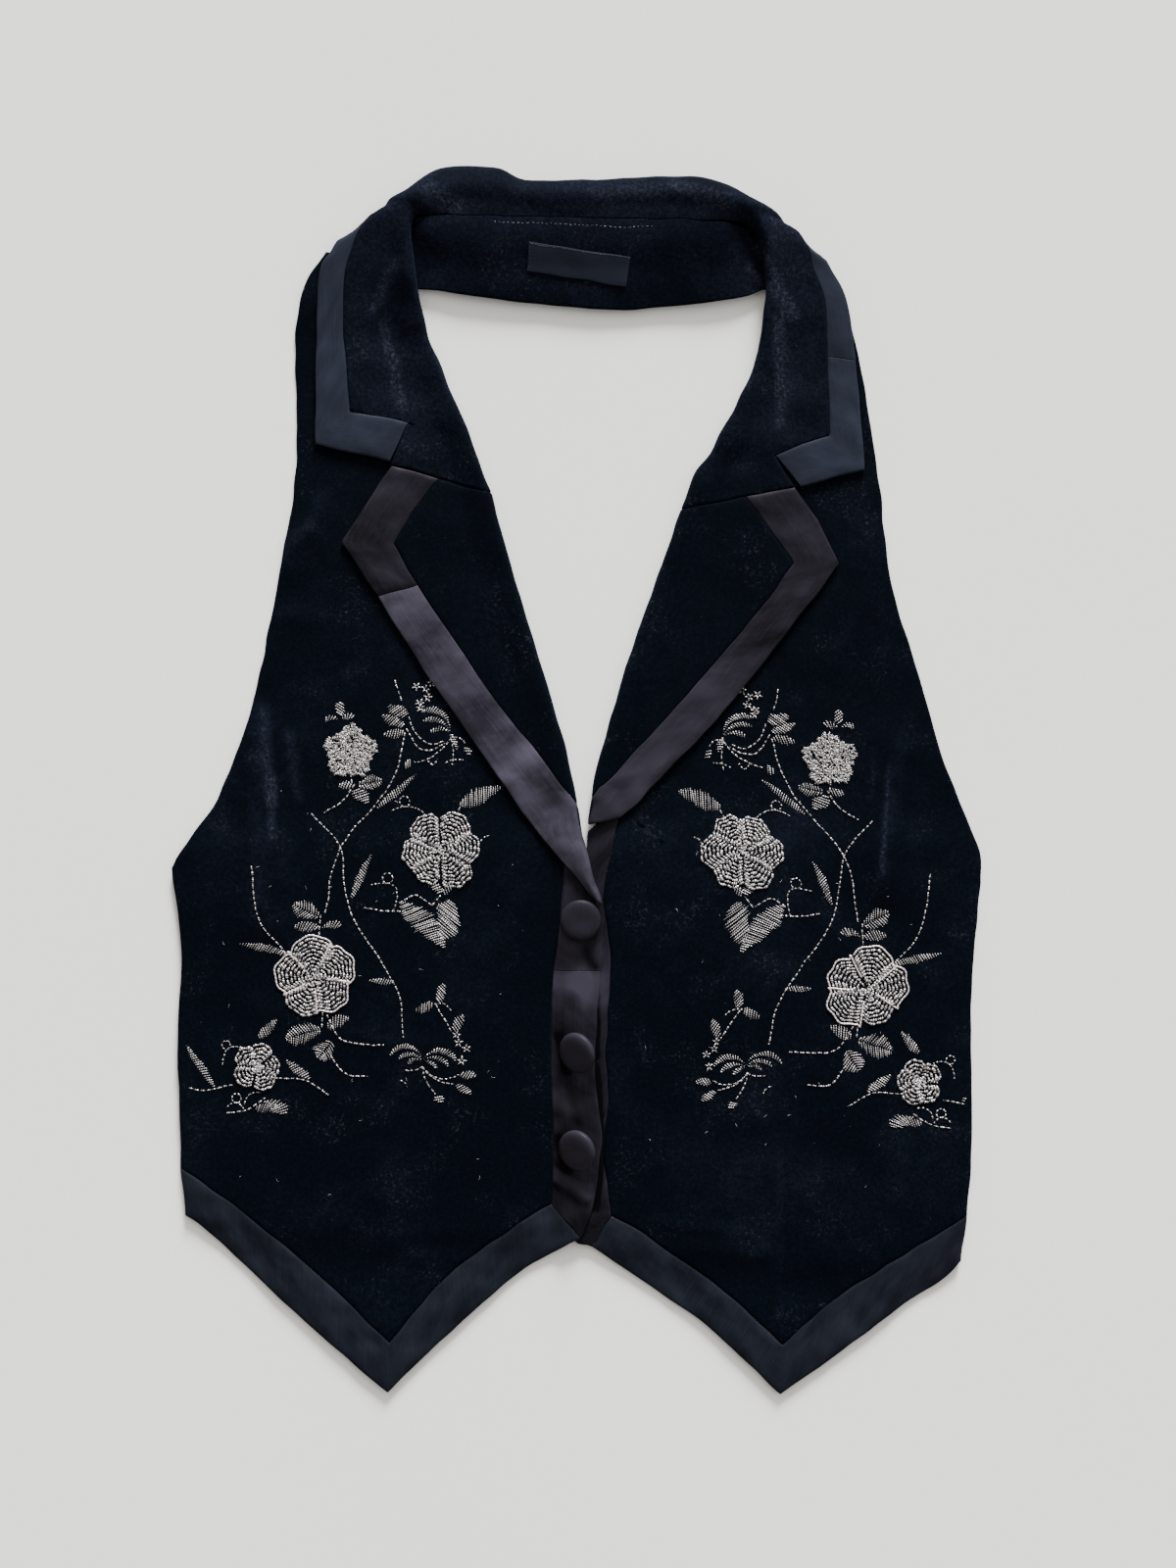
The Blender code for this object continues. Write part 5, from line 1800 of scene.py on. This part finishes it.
@dataclass
class Stitches:
    """Threads of one kind on a front, gathered into one piece.

    Attributes:
        name: The piece's name.
        finish: Its finish.
        level: Height of the cloth under it.
        place: Where drawn points lie on the front.
        source: Random numbers for its unevenness.
        points: The points of each thread.
        faces: The faces of each thread.
        flat: Each point's place along and round its thread.
        glints: How brightly each point's thread is painted to shine.
        count: How many points there are.
    """

    name: str
    finish: Finish
    level: Level
    place: Callable[[Array], Array]
    source: np.random.Generator
    points: list[Array] = field(default_factory=list)
    faces: list[Array] = field(default_factory=list)
    flat: list[Array] = field(default_factory=list)
    glints: list[Array] = field(default_factory=list)
    count: int = 0

    def thread(self, plan: Array, radius: float, beads: float = 0.0, lift: float = 0.0,
               sides: int = 6) -> None:
        """Adds a thread that dips into the cloth at both ends.

        Args:
            plan: Points along it.
            radius: Its radius.
            beads: Share by which its radius swells and narrows along it.
            lift: Height above the threads next to it.
            sides: How many faces go round it.
        """
        plan = self.place(plan)
        if np.any(np.abs(plan[:, 0]) > np.interp(plan[:, 1], *SIDE_LIMIT)):
            return
        run = run_length(plan)
        taper = np.sqrt(np.clip(np.minimum(run, run[-1] - run) / (2 * radius) + 0.1, 0, 1))
        size = radius * taper * (1 + beads * np.cos(run * 2 * math.pi / BEAD))
        out = leftward(headings(plan))
        height = self.level(plan) + WALL / 2 + (SUNK * radius + lift) * taper
        angle = np.linspace(-math.pi / 2, 1.5 * math.pi, sides, endpoint=False)
        side = size[:, None] * np.cos(angle)
        ring = np.stack([plan[:, :1] + out[:, :1] * side, plan[:, 1:] + out[:, 1:] * side,
                         height[:, None] + FLATNESS * size[:, None] * np.sin(angle)], axis=-1)
        index = np.arange(side.size).reshape(side.shape) + self.count
        around = np.concatenate([index, index[:, :1]], axis=1)
        along = np.repeat(run[:, None] + self.source.uniform(0, 400), sides, axis=1)
        turn = np.broadcast_to(np.arange(sides) / sides * ROUND, along.shape)
        self.points.append(ring.reshape(-1, 3))
        self.faces.append(quads(around)[:, ::-1])
        self.flat.append(np.stack([along, turn], axis=-1).reshape(-1, 2))
        self.glints.append(np.full(side.size, 1 - DULLEST * self.source.uniform(0, 1) ** DULLNESS))
        self.count += side.size

    def line(self, path: Array, radius: float, beads: float, lift: float) -> None:
        """Adds one long thread along a path, in steps short enough for its beads."""
        steps = int(run_length(path)[-1] / (0.5 if beads else 0.9))
        self.thread(resample(path, np.linspace(0, 1, steps + 1)), radius, beads, lift)

    def dashes(self, path: Array, radius: float = STEM_RADIUS, stitch: float = STITCH,
               gap: float = STITCH_GAP, uneven: float = 0.1) -> None:
        """Adds back stitch along a path.

        Args:
            path: Points along it.
            radius: The thread's radius.
            stitch: Length of a stitch with its gap.
            gap: The gap.
            uneven: Share by which the stitches' radius and height vary.
        """
        length = run_length(path)[-1]
        start = 0.0
        while start < length - LEAST_STITCH:
            end = min(start + stitch * self.source.uniform(*STITCH_LENGTHS), length)
            shares = np.linspace(start / length, max(end - gap, start + 0.5) / length, 6)
            wander = self.source.normal(0, WANDER, 2)
            self.thread(resample(path, shares) + wander,
                        radius * self.source.uniform(1 - uneven, 1 + uneven), 0,
                        radius * self.source.uniform(0, 2 * uneven))
            start = end

    def piece(self) -> bpy.types.Object:
        """The object of all its threads."""
        points, faces, flat, glints = (np.concatenate(part) for part in (
            self.points, self.faces, self.flat, self.glints))
        made = new_piece(self.name, points, faces, flat, self.finish, glints)
        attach(made, "root")
        LOG.info("%s: %d threads, %d faces", self.name, len(self.points), len(faces))
        return made


@dataclass
class Embroidery:
    """Silver flowers, leaves and vines on one front.

    Attributes:
        side: The wearer's side.
        level: Height of the front.
        place: Where drawn points lie on the front.
    """

    side: Wearer
    level: Level
    place: Callable[[Array], Array]

    def kind(self, word: str, finish: Finish) -> Stitches:
        """An empty gathering of threads."""
        source = np.random.default_rng([SEED, self.side.value + 1, len(word)])
        return Stitches(f"{self.side.word}_{word}", finish, self.level, self.place, source)

    def petal(self, rows: Stitches, cords: Stitches, centre: Array, turn: float, width: float,
              reach: float, cord_sides: tuple[int, ...]) -> None:
        """A petal of curved rows, one inside another.

        Args:
            rows: Where its rows go.
            cords: Where its cord goes.
            centre: The flower's centre.
            turn: Direction of its tip, in degrees.
            width: Its width, in degrees.
            reach: Its length.
            cord_sides: Sides along which the cord round it runs; none for no cord.
        """
        share = np.linspace(-1, 1, PETAL_POINTS)
        phase, depth = rows.source.uniform(0, 6.28), rows.source.uniform(*PETAL_DEPTHS)
        edge = (1 - PETAL_DRAW * np.abs(share) ** PETAL_SQUARENESS
                + depth * np.cos(3 * math.pi * share + phase))
        start = reach - ROW_RADIUS - (1.0 if cord_sides else rows.source.uniform(0, 0.9))
        for row in np.arange(start, reach * PETAL_HEART, -ROW_PITCH):
            trim = 0.97 - 0.8 / row
            path = centre + turned(turn + trim * share * width / 2, row * edge)
            rows.dashes(path, ROW_RADIUS, ROW_STITCH, ROW_GAP, ROW_UNEVEN)
        if cord_sides:
            path = centre + turned(turn + share[2:-2] * width / 2, (reach + 0.2) * edge[2:-2])
            along = np.linspace(*CORD_REACH, 9) * reach
            for sign in cord_sides:
                side = centre + turned(turn + sign * width / 2, along)
                path = np.vstack([path, side[::-1]] if sign > 0 else [side, path])
            path = resample(path, np.linspace(0, 1, CORD_POINTS))
            cords.line(path, CORD_RADIUS, BEAD_SWELL, CORD_LIFT)

    def bloom(self, rows: Stitches, cords: Stitches, row: tuple) -> None:
        """A round flower with a knotted middle.

        Args:
            rows: Where its rows go.
            cords: Where its cords go.
            row: Its row of BLOOMS.
        """
        x, y, reach, petals, turn, corded = row
        centre = np.array((x, y), dtype=float)
        for number in range(petals):
            cord_sides = (1,) if (number + 1) % petals in corded else (-1, 1)
            sway = rows.source.uniform(-PETAL_SWAY, PETAL_SWAY)
            self.petal(rows, cords, centre, turn - number * 360 / petals + sway,
                       360 / petals * PETAL_OVERLAP,
                       reach * rows.source.uniform(*PETAL_REACHES),
                       cord_sides if number in corded else ())
        for _ in range(KNOTS):
            start = centre + rows.source.normal(0, reach * KNOT_SPREAD, 2)
            knot = bent(start, rows.source.uniform(0, 360), 0, KNOT_LENGTH, 3)
            rows.thread(knot, KNOT_RADIUS, 0, KNOT_LIFT)

    def puff(self, rows: Stitches, row: tuple) -> None:
        """A ruffled flower of short crossed stitches.

        Args:
            rows: Where its stitches go.
            row: Its row of PUFFS.
        """
        x, y, reach, lobes, turn = row
        for _ in range(PUFF_STITCHES):
            angle = rows.source.uniform(0, 360)
            edge = reach * (PUFF_EDGE
                            + PUFF_LOBES * math.cos(math.radians(lobes * (angle - turn)))
                            + PUFF_RUFFLES * math.cos(math.radians(RUFFLES * angle)))
            length = rows.source.uniform(*PUFF_LENGTHS)
            away = min(edge * math.sqrt(rows.source.uniform(0.0, 1.0)), edge - length * 0.5)
            middle = np.array((x, y)) + turned(angle, max(away, 0.0))
            way = angle + rows.source.normal(0, PUFF_SCATTER)
            start = middle - turned(way, length / 2)
            rows.thread(bent(start, way, 0, length, 3), rows.source.uniform(*PUFF_RADII), 0,
                        rows.source.uniform(0, PUFF_LIFT), 5)

    def leaf(self, leaves: Stitches, row: tuple) -> None:
        """A leaf or crescent of slanting satin stitches, closed towards its tip.

        Args:
            leaves: Where its stitches go.
            row: Its row of LEAVES.
        """
        x, y, turn, length, width, bend, kind = (*row, Leaf.PLAIN)[:7]
        plain = kind is Leaf.PLAIN
        count = int(length / SATIN_PITCH)
        axis = bent((x, y), turn, bend, length, count)
        share = np.linspace(0, 1, count + 1)
        swell = CRESCENT_SWELL if abs(bend) > CRESCENT_BEND else LEAF_SWELL
        half = (width / 2 + 0.2) * np.sin(math.pi * share ** swell) ** 0.85
        way = headings(axis)
        out = leftward(way)
        for number in range(1, count):
            ragged = leaves.source.uniform(*LEAF_ENDS, 2)
            radius = SATIN_RADIUS * leaves.source.uniform(*LEAF_RADII)
            tips = [axis[number] + sign * out[number] * half[number] * ragged[index]
                    + way[number] * half[number] * (LEAF_SLANT * sign if plain else VEINED_SLANT)
                    for index, sign in enumerate((1, -1))]
            ends = [tips] if plain else [(axis[number], tip) for tip in tips]
            for pair in ends:
                stitch = resample(np.array(pair), PLAIN_STITCH if plain else VEINED_STITCH)
                leaves.thread(stitch, radius, 0, leaves.source.uniform(0, SATIN_LIFT), 5)

    def tendril(self, stems: Stitches, row: tuple) -> None:
        """A thin cord with a bow and perhaps a loop.

        Args:
            stems: Where its stitches go.
            row: Its row of TENDRILS.
        """
        start, end, bow, loop, where = row
        start, end = np.array(start, dtype=float), np.array(end, dtype=float)
        share = np.linspace(0, 1, TENDRIL_POINTS)[:, None]
        way = end - start
        out = np.array((-way[1], way[0])) / np.linalg.norm(way)
        path = start + share * way + out * bow * 4 * share * (1 - share)
        if loop:
            at = int(where * (TENDRIL_POINTS - 1))
            spin = math.degrees(math.atan2(*(path[at + 1] - path[at])[::-1]))
            ring = bent(path[at], spin, 360 * np.sign(bow), 2 * math.pi * loop, LOOP_STEPS)
            path = np.vstack([path[:at], ring, path[at + 1:]])
        stems.dashes(path, TENDRIL_RADIUS, TENDRIL_STITCH)

    def spray(self, leaves: Stitches, stems: Stitches, row: tuple) -> None:
        """A fan of crescents over sprigs that end in buds.

        Args:
            leaves: Where the crescents and buds go.
            stems: Where the sprigs go.
            row: Its row of SPRAYS.
        """
        x, y, crescents, sprigs = row
        for turn, bend, length, width in crescents:
            self.leaf(leaves, (x, y, turn, length, width, bend))
        for turn, bend, length, *bud in sprigs:
            path = bent((x, y - 3), turn, bend, length, SPRIG_STEPS)
            stems.dashes(path, TENDRIL_RADIUS, SPRIG_STITCH)
            if bud:
                self.leaf(leaves, (*path[-1], *bud, 0))

    def heap(self, knots: Stitches, row: tuple) -> None:
        """A heap of small star knots, one in its middle.

        Args:
            knots: Where its stitches go.
            row: Its row of HEAPS.
        """
        x, y, reach, count = row
        for number in range(count):
            centre = np.array((x, y)) + turned(number * 360 / max(count - 1, 1) + x,
                                               reach * (number > 0))
            for ray in range(STAR_RAYS):
                turn = (ray * 360 / STAR_RAYS + number * STAR_TURN + x
                        + knots.source.uniform(-STAR_SWAY, STAR_SWAY))
                petal = bent(centre + turned(turn, 0.5), turn, 0,
                             knots.source.uniform(*STAR_LENGTHS), 3)
                knots.thread(petal, STAR_RADIUS, 0, knots.source.uniform(0, 0.2), 5)

    def build(self) -> list[bpy.types.Object]:
        """Every thread on the front, a piece for each kind."""
        rows = self.kind("flower_rows", Finish.SILVER)
        cords = self.kind("petal_cords", Finish.ROSE_CORD)
        leaves = self.kind("satin_stitch_leaves", Finish.SILVER)
        stems = self.kind("stem_stitches", Finish.SILVER)
        for row in BLOOMS:
            self.bloom(rows, cords, row)
        for row in PUFFS:
            self.puff(rows, row)
        for row in LEAVES:
            self.leaf(leaves, row)
        for row in STEMS:
            stems.dashes(curve(row, 60))
        for row in TENDRILS:
            self.tendril(stems, row)
        for row in SPRAYS:
            self.spray(leaves, stems, row)
        for row in HEAPS:
            self.heap(rows, row)
        return [kind.piece() for kind in (rows, cords, leaves, stems)]


@dataclass
class Button:
    """A satin-covered button, domed over a flat back.

    Attributes:
        name: The solid that it stands for.
        place: X and Y of its middle, in millimetres.
        tilt: How far it leans, in degrees.
        axis: Direction of the line that it leans about, in degrees.
        segments: Faces round it.
        back: Radius and height of the rings of its back.
        radius: Radius of its dome.
        rim: Height where the dome starts.
        top: Height of the dome.
        rings: Rings up the dome.
        fullness: How steeply its side rises and how flat its top is.
        centre: Width of the faces left at the dome's centre.
        sheen: How much light is painted onto its satin's colour.
    """

    name: str
    place: tuple[float, float]
    tilt: float = 0.0
    axis: float = 0.0
    segments: int = 96
    back: Sequence[tuple[float, float]] = ((6.0, 0.0), (9.5, 1.2), (10.3, 1.8))
    radius: float = 10.5
    rim: float = 2.4
    top: float = 5.6
    rings: int = 14
    fullness: tuple[float, float] = (0.5, 0.6)
    centre: float = 0.1
    sheen: float = 0.0

    def profile(self) -> list[tuple[float, float]]:
        """Radius and height of every ring, from the back up."""
        steep, flat = self.fullness
        rise = self.top - self.rim
        dome = [(self.radius * math.cos(angle) ** steep,
                 self.rim + rise * math.sin(angle) ** flat)
                for angle in np.linspace(0, 1.5, self.rings)]
        return [*self.back, *dome]

    def build(self) -> None:
        """Draws the rings up from a disc and sets the button in its place."""
        bpy.ops.object.select_all(action="DESELECT")
        rings = self.profile()
        bpy.ops.mesh.primitive_circle_add(vertices=self.segments, radius=rings[0][0] * MM,
                                          fill_type="NGON", location=(0, 0, 0))
        piece = bpy.context.object
        piece.name = self.name + "_cover"
        bpy.ops.object.mode_set(mode="EDIT")
        bpy.ops.mesh.select_all(action="SELECT")
        for (radius, height), (wider, higher) in zip(rings[:-1], rings[1:]):
            bpy.ops.mesh.extrude_region_move(
                TRANSFORM_OT_translate={"value": (0, 0, (higher - height) * MM)})
            share = wider / radius
            bpy.ops.transform.resize(value=(share, share, 1),
                                     center_override=(0, 0, higher * MM))
        bpy.ops.mesh.inset(thickness=self.centre * MM)
        bpy.ops.mesh.select_all(action="SELECT")
        bpy.ops.mesh.normals_make_consistent(inside=False)
        bpy.ops.object.mode_set(mode="OBJECT")
        mesh = piece.data
        for loop in mesh.loops:
            mesh.uv_layers[0].data[loop.index].uv = mesh.vertices[loop.vertex_index].co[:2]
        axis = (*turned(self.axis, 1.0), 0.0)
        mesh.transform(Matrix.Rotation(-math.radians(self.tilt), 4, axis))
        lowest = min(vertex.co.z for vertex in mesh.vertices)
        seat = float(lapped_level(np.array(self.place))) + WALL / 2 + LAYER_SEAM
        x, y = self.place
        mesh.transform(Matrix.Translation((x * MM, y * MM, seat * MM - lowest)))
        dress(piece, np.full(len(mesh.vertices), self.sheen), Finish.BUTTON_SATIN)
        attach(piece, "root")
        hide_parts(self.name)
        LOG.info("%s: %d faces", self.name, len(mesh.polygons))


# The tilted buttons get light painted onto their satin
BUTTONS = (
    Button("button_top", (2.2, -70.4)),
    Button("button_middle", (2.2, -136.5), 38, 110, sheen=0.7),
    Button("button_bottom", (2.0, -186), 34, 108, sheen=0.6),
)


@dataclass
class Oddments:
    """Fibres of lint, a loose thread, and the stitches of the label and the neck band.

    Attributes:
        hairs: Hairs of lint on each front.
        hair_radius: Radius of a hair.
        loose: Places along the loose thread on the left front.
        loose_radius: Its radius.
        label_inset: Where the label's stitches run, as shares of its half length and width.
        neck_row: Places along the row of stitches below the collar's seam.
    """

    hairs: int = 34
    hair_radius: float = 0.055
    loose: Sequence[tuple] = ((142, 155), (148, 150), (153, 144), (151, 154))
    loose_radius: float = 0.13
    label_inset: tuple[float, float] = (0.97, 0.9)
    neck_row: Sequence[tuple] = ((-42, 283.6), (-14, 282.6), (22, 281), (40, 281.4))

    def lint(self, side: Wearer, level: Level) -> bpy.types.Object:
        """Short pale hairs scattered over a front.

        Args:
            side: The front's side.
            level: Height of its cloth.

        Returns:
            The piece of hairs.
        """
        source = np.random.default_rng([SEED, Pattern.LINT + side.value])
        hairs = Stitches(side.word + "_lint", Finish.PALE_THREAD, level, as_sewn, source)
        for _ in range(self.hairs):
            start = (side.value * source.uniform(30, 180), source.uniform(-215, 0))
            hairs.thread(bent(start, source.uniform(0, 360), source.uniform(-120, 120),
                              source.uniform(0.8, 2.6), 6), self.hair_radius, 0, 0.05, 4)
        if side is Wearer.LEFT:
            hairs.line(curve(self.loose, 40), self.loose_radius, 0, 0.1)
        return hairs.piece()

    def label_stitches(self) -> bpy.types.Object:
        """Small stitches that hold the label at its upper edge and its ends."""
        lift = LABEL_WALL + SEAM_GAP
        row = Stitches("label_stitches", Finish.DARK_THREAD,
                       lambda points: band_level(points) + lift, as_sewn,
                       np.random.default_rng([SEED, Pattern.LABEL]))
        middle = np.mean([*LABEL_LOW, *LABEL_HIGH], axis=0)
        corners = [middle + (np.array(corner) - middle) * self.label_inset
                   for corner in (LABEL_LOW[0], *LABEL_HIGH, LABEL_LOW[1])]
        for start, end in zip(corners[:-1], corners[1:]):
            row.dashes(np.array((start, end)), 0.1, 1.9)
        return row.piece()

    def neck_stitches(self) -> bpy.types.Object:
        """A faint row of small stitches below the collar's seam."""
        row = Stitches("neck_stitches", Finish.PALE_THREAD, band_level, as_sewn,
                       np.random.default_rng([SEED, Pattern.NECK]))
        row.dashes(curve(self.neck_row, 60), 0.05, 2.4, 1.2)
        return row.piece()


@dataclass
class Studio:
    """Plain pale floor, soft light from above the collar, and a camera that looks down.

    Attributes:
        floor_size: Side of the floor, in metres.
        view_size: Height of the camera's view at the floor, in metres.
        view_centre: X and Y of the view's centre, in metres.
        lens: The camera's focal length, in millimetres.
        sky_from: How far towards the collar the sky starts to brighten.
        dim_sky: Strength of the sky overhead.
        bright_sky: Strength of the sky at the window.
        sky: Colour of the sky.
        daylight: Colour of the lamps.
        floor_colours: Darkest and lightest colour of the floor.
    """

    floor_size: float = 6.0
    view_size: float = 0.8
    view_centre: tuple[float, float] = (0.006, -0.00125)
    lens: float = 60.0
    sky_from: float = -0.15
    dim_sky: float = 0.43
    bright_sky: float = 2.6
    sky: Colour = (1.0, 0.955, 0.89)
    daylight: Colour = (0.97, 0.98, 1.0)
    floor_colours: tuple[Colour, Colour] = ((0.70, 0.70, 0.685), (0.73, 0.73, 0.715))

    def floor(self) -> None:
        """The surface that the waistcoat lies on."""
        bpy.ops.object.select_all(action="DESELECT")
        bpy.ops.mesh.primitive_plane_add(size=self.floor_size, location=(0, 0, 0))
        floor = bpy.context.object
        floor.name = "floor"
        nodes, shader = new_material("pale_floor")
        cloud = nodes.noise(nodes.add("TexCoord").outputs["Object"], 3.0, 2)
        nodes.feed(shader, {"Base Color": nodes.blend(cloud, *self.floor_colours),
                            "Roughness": 0.9, "Specular IOR Level": 0.2})
        floor.data.materials.append(nodes.material)

    def lights(self) -> None:
        """Soft daylight from beyond the collar and a pale sky."""
        for name, aim, spread, power in (("window", (-0.16, -1.0, -0.32), 0.30, 15.2),
                                         ("fill", (-1.0, 0.1, -0.9), 0.9, 0.9)):
            light = bpy.data.lights.new(name, "SUN")
            light.energy = power
            light.angle = spread
            light.color = self.daylight
            holder = bpy.data.objects.new(name, light)
            bpy.context.scene.collection.objects.link(holder)
            holder.rotation_euler = Vector(aim).to_track_quat("-Z", "Y").to_euler()
        world = bpy.data.worlds.new("sky")
        bpy.context.scene.world = world
        world.use_nodes = True
        nodes = Nodes(world.node_tree)
        way = nodes.add("SeparateXYZ", {0: nodes.add("TexCoord").outputs["Generated"]})
        window = nodes.span(way.outputs[1], self.sky_from, 1.0, self.dim_sky, self.bright_sky)
        nodes.feed(world.node_tree.nodes["Background"],
                   {"Strength": window, "Color": padded(self.sky)})

    def camera(self) -> None:
        """The camera, straight above."""
        data = bpy.data.cameras.new("camera")
        data.lens = self.lens
        data.sensor_width = 36.0
        holder = bpy.data.objects.new("camera", data)
        bpy.context.scene.collection.objects.link(holder)
        holder.location = (*self.view_centre, self.view_size * self.lens / data.sensor_width)
        bpy.context.scene.camera = holder

    def build(self) -> None:
        """Sets up the floor, the lights and the camera."""
        self.floor()
        self.lights()
        self.camera()


def main() -> None:
    """Builds the waistcoat and its studio in order."""
    back = Back()
    fronts = (Front(Wearer.RIGHT, RIGHT, RIGHT_LAPEL, RIGHT_COLLAR, lapped_level),
              Front(Wearer.LEFT, LEFT, LEFT_LAPEL, LEFT_COLLAR, front_level))
    lapels = (Lapel(Wearer.RIGHT, RIGHT_LAPEL, lapped_level, RIGHT_LAPEL_TONES, join=3),
              Lapel(Wearer.LEFT, LEFT_LAPEL, front_level, LEFT_LAPEL_TONES))
    panels = [front.panel() for front in fronts]
    neck_band, label = back.neck_band(), back.label()
    cloths = [back.panel(), *panels, *(front.hem_band() for front in fronts)]
    cloths += Placket().build()
    for folded in (*lapels, Collar()):
        cloths += folded.build()
    cloths += [neck_band, label]
    for cloth in cloths:
        cloth.build()
    oddments = Oddments()
    for front, panel, place in zip(fronts, panels, (as_sewn, as_mirrored)):
        panel.trims += Embroidery(front.side, front.level, place).build()
        panel.trims.append(oddments.lint(front.side, front.level))
    label.trims.append(oddments.label_stitches())
    neck_band.trims.append(oddments.neck_stitches())
    for button in BUTTONS:
        button.build()
    for cloth in cloths:
        cloth.declare()
    Studio().build()


if __name__ == "__main__":
    logging.basicConfig(level=logging.INFO, format="%(message)s")
    main()
    bpy.context.view_layer.update()
